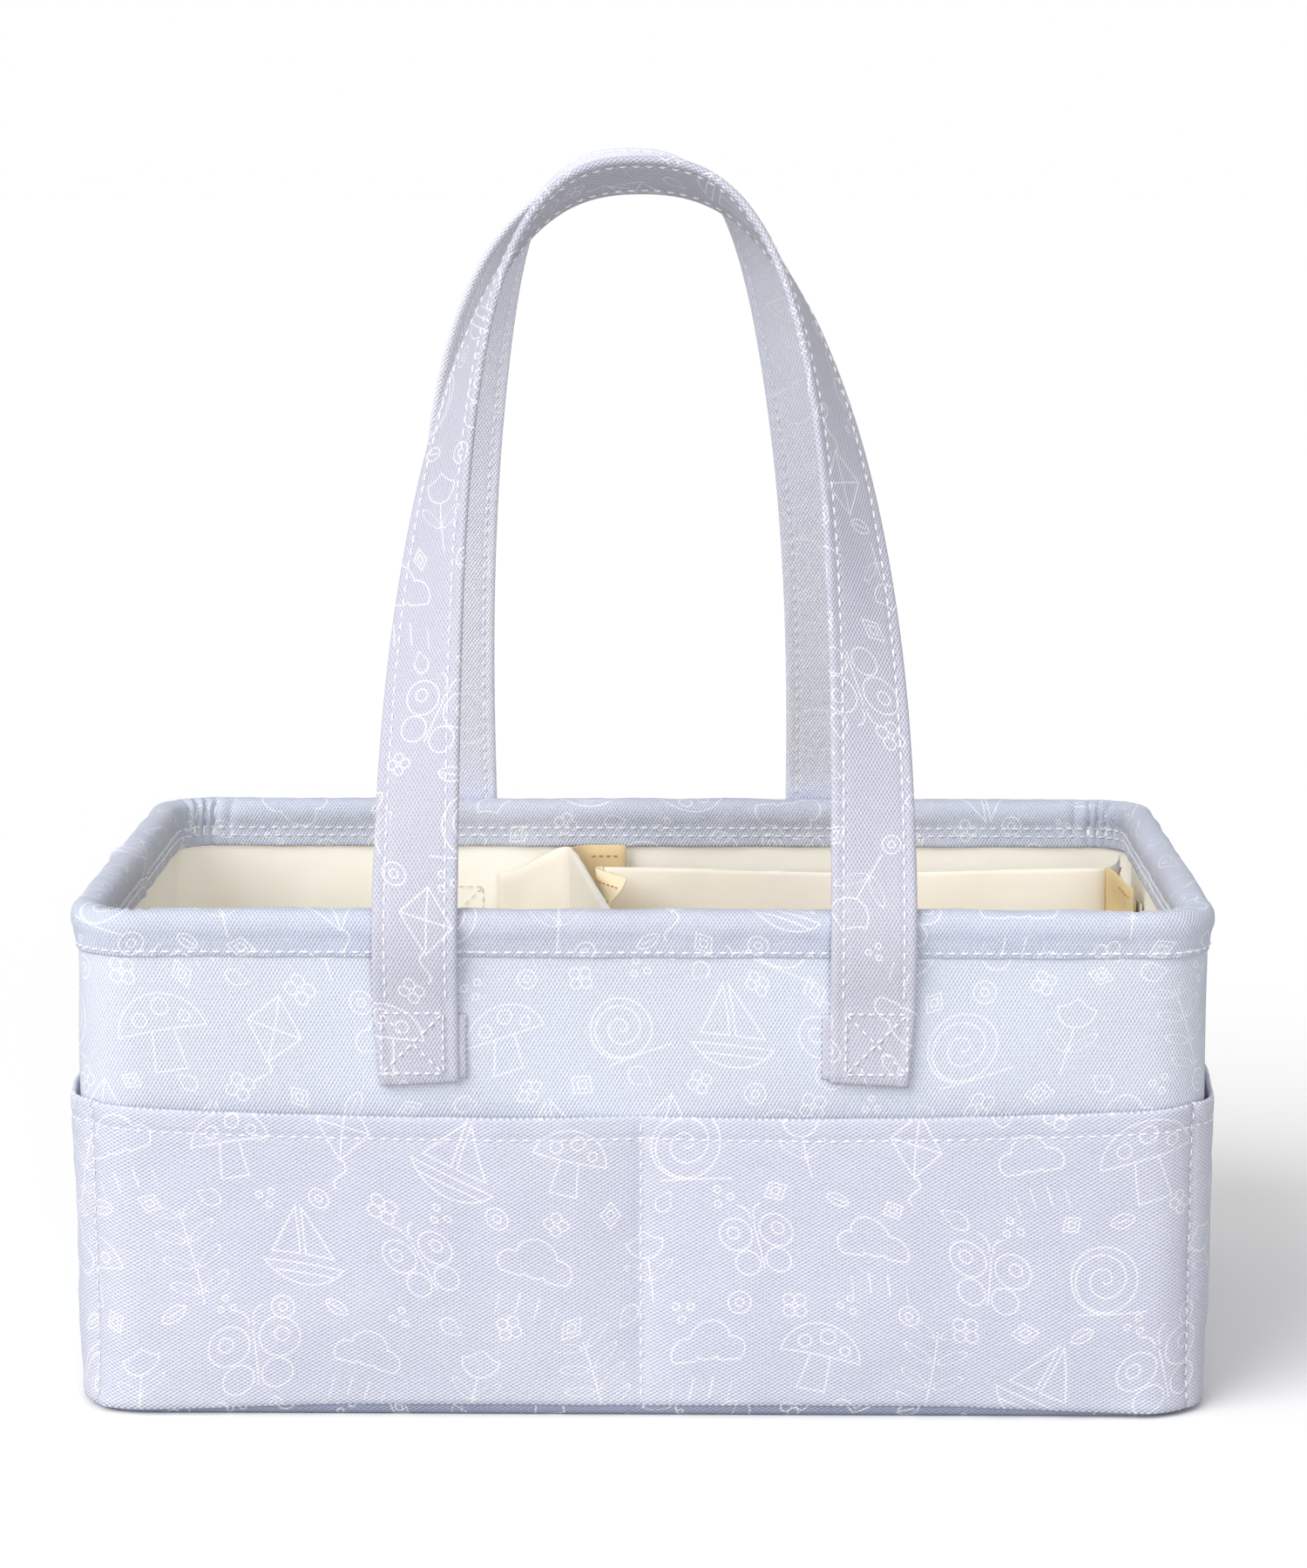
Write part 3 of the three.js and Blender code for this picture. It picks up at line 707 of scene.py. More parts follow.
pocket_canvas = canvas_material("pocket_canvas", srgb(205, 207, 221), srgb(202, 204, 220), 3.0)
wall_canvas = canvas_material("wall_canvas", srgb(210, 215, 229), srgb(208, 212, 225), 11.0,
                              turned=True)
# The base's canvas is painted darker than the walls' as shade, for its edge that curves under at
# the floor.
base_canvas = canvas_material("base_canvas", srgb(152, 158, 180), srgb(148, 154, 176), 15.0)
# The rim's canvas is painted a little darker than the walls' as shade on its rolled band.
rim_canvas = canvas_material("rim_canvas", srgb(197, 204, 221), srgb(198, 201, 216), 23.0,
                             turned=True)
# The front strap is painted darker and the back strap lighter, as painted light and shade: the
# front faces the lamps, and the back strap's seen face turns down away from them.
STRAP_COLOURS = {"front": (srgb(196, 196, 209), srgb(193, 194, 208)),
                 "back": (srgb(230, 232, 246), srgb(227, 230, 245))}
strap_canvas = {name: canvas_material(f"{name}_strap_canvas", *colours, 31.0 + 4 * len(name),
                                      turned=True)
                for name, colours in STRAP_COLOURS.items()}
print("straps of canvas:", ", ".join(material.name for material in strap_canvas.values()))

# %% [markdown]
# ## The nylon
#
# The lining and the dividers are a thin cream nylon. Its threads are much finer than the
# canvas, so they are only a faint grid. The light runs over it in soft gleams, which small
# uneven wrinkles break up. The cross divider's nylon is painted a little darker than the long
# one's, as painted shade, to tone down the key lamp on its face. Some of the flaps have a
# darker, yellower nylon.

# %% The nylon material
NYLON_THREAD = 0.55 * MM


def nylon_material(name, body_colour, second_colour, roughness):
    material, tree, shader = new_material(name)
    uv, across, up, place = cloth_place(tree)
    wave = 2 * math.pi / NYLON_THREAD
    grid = ((across * wave).op("COSINE") + (up * wave).op("COSINE")) * 0.25 + 0.5
    patches = soft_step(noise(tree, place, 0.05), 0.3, 0.7)
    ground = mixed(tree, patches, body_colour, second_colour)
    shaded = mixed(tree, grid * 0.22, ground, tuple(c * 0.86 for c in body_colour[:3]) + (1.0,))
    tree.links.new(shaded, shader.inputs["Base Color"])
    set_inputs(shader, Roughness=roughness, Specular_IOR_Level=0.35, Sheen_Weight=0.1)
    relief(tree, shader, [(noise(tree, place, 0.012), 0.35 * MM),
                          (noise(tree, uv, 1.5 * MM), 0.03 * MM), (grid, 0.02 * MM)])
    return material


lining_nylon = nylon_material("lining_nylon", srgb(253, 249, 239), srgb(250, 246, 234), 0.5)
divider_nylon = nylon_material("divider_nylon", srgb(248, 241, 229), srgb(245, 237, 222), 0.5)
# The cross divider's nylon is the long one's painted darker, as shade.
cross_nylon = nylon_material("cross_nylon", srgb(233, 226, 214), srgb(230, 222, 207), 0.5)
flap_nylon = nylon_material("flap_nylon", srgb(228, 205, 158), srgb(221, 196, 146), 0.55)
pale_flap_nylon = nylon_material("pale_flap_nylon", srgb(248, 234, 202), srgb(244, 228, 192), 0.5)
print("threads of the nylon:", NYLON_THREAD, "m apart")

# %% [markdown]
# ## Thread, board, filler and tape
#
# Sewing thread is two plies twisted together, so it has slanting grooves, which are painted
# darker as shade. The boards are a foamed plastic with tiny pores. The filler in the rim is a
# soft cotton cord, and the hook and loop tape is a dense field of tiny hooks or loops, painted
# darker in its low places as shade.

# %% Thread
TWIST_PER_METRE = 9000.0


def thread_material(name, colour, shade):
    material, tree, shader = new_material(name)
    _, along, around_it, place = cloth_place(tree)
    angle = along * TWIST_PER_METRE + around_it * (2 * math.pi)
    twist = angle.op("SINE") * 0.5 + 0.5
    # The grooves between the plies are painted in the darker colour, as shade.
    tree.links.new(mixed(tree, twist, shade, colour), shader.inputs["Base Color"])
    set_inputs(shader, Roughness=0.6, Sheen_Weight=0.2)
    relief(tree, shader, [(twist, 0.05 * MM), (noise(tree, place, 0.3 * MM), 0.03 * MM)])
    return material


white_thread = thread_material("white_thread", srgb(250, 250, 253), srgb(214, 215, 224))
cream_thread = thread_material("cream_thread", srgb(240, 228, 200), srgb(205, 186, 148))
gold_thread = thread_material("gold_thread", srgb(214, 164, 96), srgb(176, 124, 62))


# %% Board, filler and tape
def board_material():
    material, tree, shader = new_material("stiff_board")
    place = object_place(tree)
    pores = noise(tree, place, 1.2 * MM, 3.0)
    patches = noise(tree, place, 0.03)
    tree.links.new(mixed(tree, pores * 0.5 + patches * 0.3, srgb(236, 234, 229),
                         srgb(222, 219, 212)), shader.inputs["Base Color"])
    shader.inputs["Roughness"].default_value = 0.75
    relief(tree, shader, [(pores, 0.1 * MM)])
    return material


def cord_material():
    material, tree, shader = new_material("filler_cord")
    fibres = noise(tree, object_place(tree), 0.5 * MM, 4.0)
    tree.links.new(mixed(tree, fibres, srgb(226, 222, 212), srgb(246, 244, 238)),
                   shader.inputs["Base Color"])
    shader.inputs["Roughness"].default_value = 0.95
    relief(tree, shader, [(fibres, 0.2 * MM)])
    return material


def tape_material(name, colour, shade, pitch):
    material, tree, shader = new_material(name)
    uv, across, up, _ = cloth_place(tree)
    wave = 2 * math.pi / pitch
    tufts = (across * wave).op("SINE") * (up * wave).op("SINE") * 0.5 + 0.5
    fuzz = noise(tree, uv, 0.4 * MM, 3.0)
    # The low tufts are painted darker as shade; the fuzz adds a random tone.
    tree.links.new(mixed(tree, tufts * 0.6 + fuzz * 0.4, shade, colour),
                   shader.inputs["Base Color"])
    shader.inputs["Roughness"].default_value = 0.9
    relief(tree, shader, [(fuzz, 0.2 * MM), (tufts, 0.3 * MM)])
    return material


stiff_board = board_material()
filler_cord = cord_material()
hook_tape = tape_material("hook_tape", srgb(236, 218, 176), srgb(198, 176, 130), 1.4 * MM)
loop_tape = tape_material("loop_tape", srgb(244, 238, 224), srgb(214, 204, 184), 0.9 * MM)

WALL_BOARDS = [f"board_{wall}" for wall in WALLS]
for board in ("base_board", *WALL_BOARDS, "cross_divider_board", "long_divider_board"):
    frame["nodes"][board].data.materials.clear()
    frame["nodes"][board].data.materials.append(stiff_board)
print("materials made:", len(bpy.data.materials))

# %% [markdown]
# ## Camera, light and floor
#
# The camera stands level with the top of the handles and looks slightly down, with a long
# lens, as for a product photo. A soft sun from the left front makes the shadow, a low
# one from the front opens the inside, and a lamp near the left end makes that end brighter.
# The sky is brighter overhead, which suits an open box. To the camera the background is
# white, and so is the lit floor, while the floor reflects less light onto the caddy than it
# seems to, as a sheet of paper under a product does when it is lit by itself.

# %% Camera and lamps
camera_data = bpy.data.cameras.new("camera")
camera_data.lens = 92.96
camera_data.sensor_width = 36
camera = bpy.data.objects.new("camera", camera_data)
bpy.context.collection.objects.link(camera)
camera.location = (0.022, -1.431, 0.425)
camera.rotation_euler = (math.radians(90 - 9.05), 0, math.radians(0.78))
bpy.context.scene.camera = camera
bpy.context.scene.view_settings.view_transform = "Standard"


def lamp(name, kind, place, towards, power, **settings):
    """A lamp whose light travels in the given direction."""
    data = bpy.data.lights.new(name, kind)
    data.energy = power
    for key, value in settings.items():
        setattr(data, key, value)
    obj = bpy.data.objects.new(name, data)
    obj.location = place
    obj.rotation_euler = Vector(towards).to_track_quat("-Z", "Y").to_euler()
    bpy.context.collection.objects.link(obj)


lamp("key", "SUN", (0, 0, 1), (0.565, 0.565, -0.602), 0.67 * math.pi, angle=math.radians(44))
lamp("front", "SUN", (0, 0, 1), (-0.2, 0.966, -0.16), 0.37 * math.pi, angle=math.radians(26))
lamp("side", "AREA", (-0.75, -0.55, 0.32), (0.7, 0.62, -0.2), 0.8, size=0.5)
print("lamps:", ", ".join(lamp_data.name for lamp_data in bpy.data.lights))


# %% The world and the floor
def seen_directly(tree):
    """1 where the camera sees a surface, directly or in a gloss or through glass."""
    path = tree.nodes.new("ShaderNodeLightPath")
    seen = Term(tree, path.outputs["Is Camera Ray"])
    for kind in ("Is Glossy Ray", "Is Transmission Ray"):
        seen = seen.most(Term(tree, path.outputs[kind]))
    return seen


world = bpy.data.worlds.new("studio")
world.use_nodes = True
bpy.context.scene.world = world
world_tree = world.node_tree
sky = world_tree.nodes["Background"]
sky.inputs["Color"].default_value = (1, 1, 1, 1)
direction = world_tree.nodes.new("ShaderNodeSeparateXYZ")
world_tree.links.new(world_tree.nodes.new("ShaderNodeTexCoord").outputs["Generated"],
                     direction.inputs[0])
overhead = Term(world_tree, direction.outputs[2]).most(0.0)
lit = overhead * 0.59 + 0.175
seen = seen_directly(world_tree)
world_tree.links.new((lit + (-lit + 1.0) * seen).socket, sky.inputs["Strength"])

FLOOR_HALF = 30.0
floor_mesh = bpy.data.meshes.new("floor")
floor_mesh.from_pydata([(-FLOOR_HALF, -FLOOR_HALF, 0), (FLOOR_HALF, -FLOOR_HALF, 0),
                        (FLOOR_HALF, FLOOR_HALF, 0), (-FLOOR_HALF, FLOOR_HALF, 0)],
                       [], [(0, 1, 2, 3)])
studio_floor = bpy.data.objects.new("floor", floor_mesh)
bpy.context.collection.objects.link(studio_floor)
floor_material, floor_tree, floor_shader = new_material("floor")
floor_tree.links.new(mixed(floor_tree, seen_directly(floor_tree), (0.55, 0.55, 0.55, 1),
                           (0.98, 0.98, 0.98, 1)), floor_shader.inputs["Base Color"])
set_inputs(floor_shader, Roughness=0.9, Specular_IOR_Level=0.2)
floor_mesh.materials.append(floor_material)

# %% [markdown]
# ## The wrap
#
# The outside of the box is one strip of canvas, sewn into a ring. It lies on the boards, so
# it is nearly flat, with slow swells of less than half a millimetre that catch the light.

# %% The wrap
WRAP_SWELL = 0.45 * MM


def wrap_face(run, height):
    place, out = around(run)
    swell = WRAP_SWELL * ripples(run, height, 0.09, 5, perimeter)
    free = smooth((wall_top - 6 * MM - height) / (10 * MM))
    return lifted(place, out, swell * free, height)


def ring_cloth(name, face, rises, thickness, material, step=4 * MM, runs=None):
    """A strip of cloth that closes round the box, with its seam on the left end."""
    runs = seam_run + steps(0, perimeter, step) if runs is None else runs
    run, rise = np.meshgrid(runs, rises, indexing="ij")
    return cloth_mesh(name, face(run, rise), np.stack([run, rise], -1), thickness, material,
                      closed=True)


wrap = ring_cloth("outer_wrap_canvas", wrap_face, steps(wrap_low.z, wall_top, 4 * MM), CANVAS,
                  wall_canvas)
dress(wrap, "caddy", "wall_canvas", "outer_wrap")

# %% [markdown]
# ## The base
#
# The base is a flat panel of the same canvas. Its edge turns up a few millimetres, and shows
# as a thin strip below the pockets. The panel's threads run straight across it, so its
# texture coordinates are its own X and Y, and only the turned-up edge follows the walls.

# %% The base panel and the lining's floor
BASE_EDGE = 3.2 * MM


def panel_rows(place, out, reach, shares, height):
    """Rows of a flat panel, from its middle to a ring at the given reach."""
    edge = place + out * reach
    return [np.concatenate([edge * share, np.full(edge.shape[:-1] + (1,), height)], -1)
            for share in shares]


def base_panel():
    runs = seam_run + steps(0, perimeter, 5 * MM)
    place, out = around(runs)
    lip = base_high.x - half_length
    rows = panel_rows(place, out, lip - BASE_EDGE, (0.002, 0.2, 0.4, 0.6, 0.8, 0.92, 1), 0.0)
    uv = [row[:, :2] for row in rows]
    edge = [(lip - BASE_EDGE * (1 - math.sin(turn)), BASE_EDGE * (1 - math.cos(turn)))
            for turn in np.linspace(0, math.pi / 2, 5)[1:]]
    for height in np.linspace(BASE_EDGE, base_high.z, 4)[1:]:
        wave = 0.12 * MM * ripples(runs, height, 0.04, 8, perimeter)
        edge.append(((lip + wave)[:, None], height))
    for reach, height in edge:
        rows += panel_rows(place, out, reach, (1,), height)
        uv.append(np.stack([runs, np.full(len(runs), height)], -1))
    return cloth_mesh("base_canvas_panel", np.stack(rows, 1), np.stack(uv, 1), CANVAS,
                      base_canvas, closed=True)


def lining_panel():
    runs = steps(0, perimeter, 6 * MM)
    place, out = around(runs)
    reach = floor_high.x - half_length
    shares = np.concatenate([[0.002], np.linspace(0.04, 1, 26)])
    rows = panel_rows(place, out, reach, shares, 0.0)
    points = np.stack(rows, 1)
    wrinkle = 0.35 * MM * ripples(points[..., 0], points[..., 1], 0.07, 14)
    points[..., 2] = floor_high.z + wrinkle * smooth((1 - shares) / 0.06)
    return cloth_mesh("lining_floor_cloth", points, points[..., :2].copy(), NYLON, lining_nylon,
                      closed=True)


base_cloth = dress(base_panel(), "caddy", "wall_canvas", "base_canvas")
lining_floor = dress(lining_panel(), "caddy", "lining_nylon", "lining_floor")

# %% [markdown]
# ## The lining
#
# The lining hangs from the rim, and is sewn to nothing else but its own floor, so it has
# soft upright wrinkles. They fade near the rim, where the binding holds it flat.

# %% The lining
WRINKLE = 0.8 * MM
FINE_WRINKLE = 0.22 * MM


def lining_face(run, height):
    place, out = around(run)
    slack = smooth((wall_top - 10 * MM - height) / (25 * MM))
    wrinkle = WRINKLE * ripples(run, height * 0.45, 0.05, 21, perimeter)
    fine = FINE_WRINKLE * ripples(run, height * 0.6, 0.018, 22, perimeter)
    reach = lining_reach + NYLON + (wrinkle + fine) * (0.15 + 0.85 * slack)
    return lifted(place, out, reach, height)


lining = ring_cloth("lining_wall_cloth", lining_face, steps(lining_low.z, wall_top, 4 * MM),
                    NYLON, lining_nylon, step=3.5 * MM)
dress(lining, "caddy", "lining_nylon", "lining_wall")

# %% [markdown]
# ## The rolled rim
#
# A strip of canvas is sewn to the outside of the wall, rolled over a soft filler, and sewn
# down again inside. Its section is drawn once, as a line with two legs and a round top, and
# swept round the box. At the inside of a corner the strip has too much length, so it lies in
# small gathers.

# %% The section of the rim
ROLL_RADIUS = 6 * MM
OUTER_LEG = 16 * MM
INNER_LEG = 18.2 * MM
EDGE_CLOTH = 0.5 * MM
roll_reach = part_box("rim_binding")[1].x - half_length - ROLL_RADIUS
roll_height = rim_top - ROLL_RADIUS
leg_half = GAP - roll_reach + CANVAS


def resampled(points, count):
    """The same line, with evenly spaced points."""
    lengths = np.concatenate([[0], np.cumsum(np.linalg.norm(np.diff(points, axis=0), axis=1))])
    wanted = np.linspace(0, lengths[-1], count)
    return np.stack([np.interp(wanted, lengths, points[:, i])
                     for i in range(points.shape[1])], 1), wanted


def power(value, share):
    return np.sign(value) * np.abs(value) ** share


def rounded_line(points, rounds):
    """Softens the bends of an evenly spaced line, and keeps its ends."""
    for _ in range(rounds):
        points[1:-1] = (points[:-2] + 2 * points[1:-1] + points[2:]) / 4
    return points


def rim_section():
    start = -math.acos(leg_half / ROLL_RADIUS)
    turns = np.linspace(start, math.pi - start, 60)
    flat = 0.8
    arc = np.stack([roll_reach + ROLL_RADIUS * 0.97 * power(np.cos(turns), flat),
                    roll_height + ROLL_RADIUS * 0.92 * power(np.sin(turns), flat)], 1)
    outside = np.array([[GAP + EDGE_CLOTH, rim_top - OUTER_LEG]])
    inside = np.array([[roll_reach - leg_half, rim_top - INNER_LEG]])
    line, _ = resampled(np.concatenate([outside, arc, inside]), 90)
    return resampled(rounded_line(line, 6), 30)


rim_line, rim_lengths = rim_section()
rim_depth = rim_lengths[-1]
print("the binding is", round(rim_depth, 4), "m from edge to edge")

# %% The binding
GATHER_PITCH = 3.8 * MM
GATHER_HALF = 11 * MM
GATHER_ASIDE = 11 * MM
GATHER_DEPTH = 2.2 * MM
ROLL_SWELL = 0.3 * MM
FINE_ROLL_SWELL = 0.14 * MM
SEAM_OVERLAP = 9 * MM
OVERLAP_RISE = 1.3 * MM
SEAM_GROOVE = 0.9 * MM
SEWING_GROOVE = 0.3 * MM
OUTER_SEWING = 1.6 * MM
INNER_SEWING = (3.9 * MM, 7 * MM)
RIM_STEP = 2.2 * MM
FINE_STEP = 0.45 * MM
FINE_HALF = 19 * MM
corner_runs = [wall_middles[wall] + side * (half_run(wall) - GATHER_ASIDE)
               for wall in ("front", "back") for side in (-1, 1)]


def rim_face(run, rise):
    place, out = around(run)
    reach, height = (np.interp(rise, rim_lengths, rim_line[:, i]) for i in (0, 1))
    near = 0.4 * MM
    slope, climb = (np.interp(rise + near, rim_lengths, rim_line[:, i])
                    - np.interp(rise - near, rim_lengths, rim_line[:, i]) for i in (0, 1))
    size = np.maximum(np.hypot(slope, climb), 1e-9)
    share = rise / rim_depth
    swell = ROLL_SWELL * ripples(run, rise, 0.05, 31, perimeter)
    swell = swell + FINE_ROLL_SWELL * ripples(run, rise, 0.014, 32, perimeter)
    held = bump(rise - OUTER_SEWING, 1.4 * MM) + bump(rise - rim_depth + 5 * MM, 2.6 * MM)
    gathers = np.zeros_like(run)
    for number, corner in enumerate(corner_runs):
        away = np.mod(run - corner + perimeter / 2, perimeter) - perimeter / 2
        away = away + (share - 0.7) * (4 - 3 * number) * MM
        pitch = GATHER_PITCH * (1 + 0.1 * number + 0.25 * np.abs(away) / GATHER_HALF)
        crease = 1 - np.abs(np.sin(math.pi * away / pitch)) ** 0.9
        gathers = gathers + smooth(1.6 - np.abs(away) / GATHER_HALF) * crease
    inner = smooth((share - 0.42) / 0.12) * (1 - 0.7 * smooth((share - 0.86) / 0.08))
    past_seam = np.mod(run - seam_run + perimeter / 2, perimeter) - perimeter / 2
    past_seam = past_seam + (share - 0.5) * 6 * MM
    overlap = smooth(past_seam / (0.5 * MM)) * (1 - smooth(past_seam / SEAM_OVERLAP))
    held = np.clip(held, 0, 1)
    push = swell * (1 - 0.6 * held) - SEWING_GROOVE * held
    push = push + overlap * OVERLAP_RISE - bump(past_seam + 0.8 * MM, 0.9 * MM) * SEAM_GROOVE
    push = push - gathers * inner * GATHER_DEPTH
    return lifted(place, out, reach + push * climb / size, height - push * slope / size)


rim_runs = [steps(0, perimeter, RIM_STEP)]
for middle in corner_runs + [seam_run]:
    near = middle - seam_run + steps(-FINE_HALF, FINE_HALF, FINE_STEP)
    rim_runs.append(np.mod(near, perimeter))
rim_runs = seam_run + np.unique(np.round(np.concatenate(rim_runs), 6))
rim_rises = steps(0, rim_depth, 1.2 * MM)
rim_thickness = EDGE_CLOTH + (CANVAS - EDGE_CLOTH) * smooth(rim_rises / (5 * MM))
binding = ring_cloth("rim_binding_cloth", rim_face, rim_rises, rim_thickness, rim_canvas,
                     runs=rim_runs)
dress(binding, "caddy", "rim_canvas", "rim_binding")

# %% [markdown]
# ## A skin round a line
#
# Straps, cords and threads are all a small section carried along a line. One helper makes
# that skin from its rings of points, with the length round the section and the length along
# the line as its texture coordinates.

# %% Skins, and the filler in the rim
def skin_mesh(name, rings, material, closed=False):
    """A skin over rings of points: stations by sides by 3."""
    stations, sides = rings.shape[:2]
    closed_rings = np.concatenate([rings, rings[:, :1]], 1)
    spans = np.linalg.norm(np.diff(closed_rings, axis=1), axis=2)
    girth = np.concatenate([np.zeros((stations, 1)), np.cumsum(spans, 1)], 1)
    middle = rings.mean(1)
    if closed:
        middle = np.concatenate([middle, middle[:1]])
    along = np.concatenate([[0], np.cumsum(np.linalg.norm(np.diff(middle, axis=0), axis=1))])
    number = np.arange(stations * sides).reshape(stations, sides)
    number = np.concatenate([number, number[:, :1]], 1)
    if closed:
        number = np.concatenate([number, number[:1]])
        girth = np.concatenate([girth, girth[:1]])
    uv = np.stack([girth, np.broadcast_to(along[:, None], girth.shape)], -1)
    quads = np.stack([number[:-1, :-1], number[:-1, 1:], number[1:, 1:], number[1:, :-1]], -1)
    corner_uv = np.stack([uv[:-1, :-1], uv[:-1, 1:], uv[1:, 1:], uv[1:, :-1]], -2)
    return mesh_object(name, rings.reshape(-1, 3), quads.reshape(-1, 4),
                       corner_uv.reshape(-1, 2), material)


STRAND_TURN = 40 * MM
CORD_ROOM = 0.3 * MM


def filler_rings():
    """Three soft strands twisted round each other, all round the box."""
    runs = steps(0, perimeter, 4 * MM)[:-1]
    place, out = around(runs)
    radius = ROLL_RADIUS - CANVAS - GAP - CORD_ROOM
    turns = np.linspace(0, 2 * math.pi, 17)[:-1]
    twist = 2 * math.pi * round(perimeter / STRAND_TURN) * runs / perimeter
    lobes = 1 - 0.14 * (1 - np.abs(np.cos(1.5 * (turns[None, :] + twist[:, None]))))
    reach = roll_reach + radius * lobes * np.cos(turns)
    height = roll_height + radius * lobes * np.sin(turns)
    xy = place[:, None] + out[:, None] * reach[..., None]
    return np.concatenate([xy, height[..., None]], -1)


filler = skin_mesh("rim_filler_cord", filler_rings(), filler_cord, closed=True)
dress(filler, "caddy", "filler_cord", "rim_core")

# %% [markdown]
# ## The pockets
#
# A band of canvas runs round the lower half. Its top edge is turned in and sewn with one row
# of stitches, and upright rows of stitches divide it into pockets. Between these rows the
# cloth stands off the wall a little. The seams pull it in, with small puckers beside them.

# %% The shape of the pocket band
CORNER_LIFT = 3.5 * MM
END_DIP = 2 * MM
POCKETS = {"front": 2, "right": 1, "back": 2, "left": 1}


def pocket_top(wall, run):
    spread = (run / half_run(wall)) ** 2
    if wall in ("front", "back"):
        return POCKET_TOP + CORNER_LIFT * spread
    return POCKET_TOP + CORNER_LIFT - END_DIP * (1 - spread)


def pocket_seams(wall):
    return np.linspace(-half_run(wall), half_run(wall), POCKETS[wall] + 1)


print("seams on the front wall at", np.round(pocket_seams("front"), 3))


# %% The face of the pocket band
BOTTOM_DROP = 1.4 * MM
CORNER_DROP = 2.2 * MM
POCKET_BOW = 5.4 * MM
POCKET_SWELL = 0.8 * MM
FINE_POCKET_SWELL = 0.25 * MM
PUCKER = 0.3 * MM
PUCKER_PITCH = 13 * MM
SEAM_DIP = 0.5 * MM
SEAM_HALF = 1.6 * MM
HEM = 7 * MM
HEM_RISE = 0.2 * MM
HEM_GROOVE = 0.3 * MM
TUCK = 0.3 * MM


def pocket_face(wall, run, share):
    """A point of a pocket's outer face, at a share of its height."""
    place, out = along_wall(wall, run)
    top = pocket_top(wall, run)
    corner = smooth((np.abs(run) / half_run(wall) - 0.5) / 0.45)
    bottom = pocket_low.z - BOTTOM_DROP - CORNER_DROP * corner
    height = bottom + (top - bottom) * share
    below_top = top - height
    pockets = POCKETS[wall]
    position = (run / half_run(wall) + 1) * pockets / 2
    across = 2 * (position - np.clip(np.floor(position), 0, pockets - 1)) - 1
    swell = np.sin(np.pi / 2 * np.clip(share / 0.36, 0, 1))
    open_by = (1 - np.abs(across) ** 3) * swell
    reach = GAP + CANVAS + POCKET_BOW * open_by
    reach = reach + POCKET_SWELL * ripples(run, height, 0.1, 40 + pockets) * open_by
    reach = reach + FINE_POCKET_SWELL * ripples(run, height, 0.03, 43 + pockets)
    for seam in pocket_seams(wall):
        away = run - seam
        pucker = np.sin(2 * math.pi * height / PUCKER_PITCH + 3 * away / (10 * MM))
        reach = reach + PUCKER * pucker * bump(away, 9 * MM) * (1 - bump(away, 2 * MM))
        reach = reach - SEAM_DIP * bump(away, SEAM_HALF)
    hem_body = smooth(below_top / (1.2 * MM)) * (1 - smooth((below_top - 5 * MM) / (2 * MM)))
    reach = reach + HEM_RISE * hem_body - HEM_GROOVE * bump(below_top - HEM, 1.1 * MM)
    tuck = 1 - smooth((height - bottom) / (1.5 * MM))
    reach = reach - TUCK * tuck ** 2 + (1.3 + 0.3 * corner) * MM * (1 - share) ** 8
    return lifted(place, out, reach, height)


# %% The four pocket bands
pocket_pieces = {}
for wall in WALLS:
    runs = np.unique(np.concatenate([steps(-half_run(wall), half_run(wall), 3 * MM),
                                     pocket_seams(wall)]))
    shares = np.concatenate([np.linspace(0, 0.08, 5)[:-1], np.linspace(0.08, 0.88, 24)[:-1],
                             np.linspace(0.88, 1, 12)])
    run, share = np.meshgrid(runs, shares, indexing="ij")
    height = pocket_low.z + (pocket_top(wall, run) - pocket_low.z) * share
    uv = np.stack([run + wall_middles[wall], height], -1)
    hem_layers = 1 + smooth((share - 0.92) / 0.02)
    piece = cloth_mesh(f"{wall}_pocket_cloth", pocket_face(wall, run, share), uv,
                       CANVAS * (0.6 + 0.4 * hem_layers), pocket_canvas, fold=0.45)
    pocket_pieces[wall] = dress(piece, "caddy", "pocket_canvas", f"{wall}_pocket")

# %% [markdown]
# ## The strap handles
#
# Each handle is one long strap, folded from canvas to a few layers and sewn along both
# edges. It is sewn flat to the wall, comes out over the rim, leans in over the caddy and
# twists as it rises, so at the top it lies flat over a hand. Its line is worked out from a
# few sizes: how wide and high the loop is, and how far over the caddy it leans.

# %% The line of a strap
STRAP_WIDTH = 28.4 * MM
STRAP_THICKNESS = 3 * MM
SEWN_WIDTH = 26.4 * MM
SEWN_SHIFT = 1.2 * MM
SEWN_LENGTH = 23.8 * MM
SWAY = -3 * MM
joint_places = {joint["name"]: joint["pos_m"]
                for joint in frame["record"]["behaviour"]["joints"] if "pos_m" in joint}
hinge_height = joint_places["front_handle_fold"][2]
sewn_height = hinge_height - SEWN_LENGTH
BEND = 11 * MM
STRAP_STATIONS = 230
rim_leg_bottom = rim_top - OUTER_LEG
HANDLES = {
    "front": {"side": -1, "half": 75.8 * MM, "shift": 1.1 * MM, "rise": 266 * MM,
              "aside": 9.8 * MM, "twist": 238 * MM, "arch": 0.766, "turn": 1.11},
    "back": {"side": 1, "half": 70.2 * MM, "shift": -3.9 * MM, "rise": 264.4 * MM,
             "aside": 24.6 * MM, "twist": 246.6 * MM, "arch": 0.75, "turn": 2.92},
}


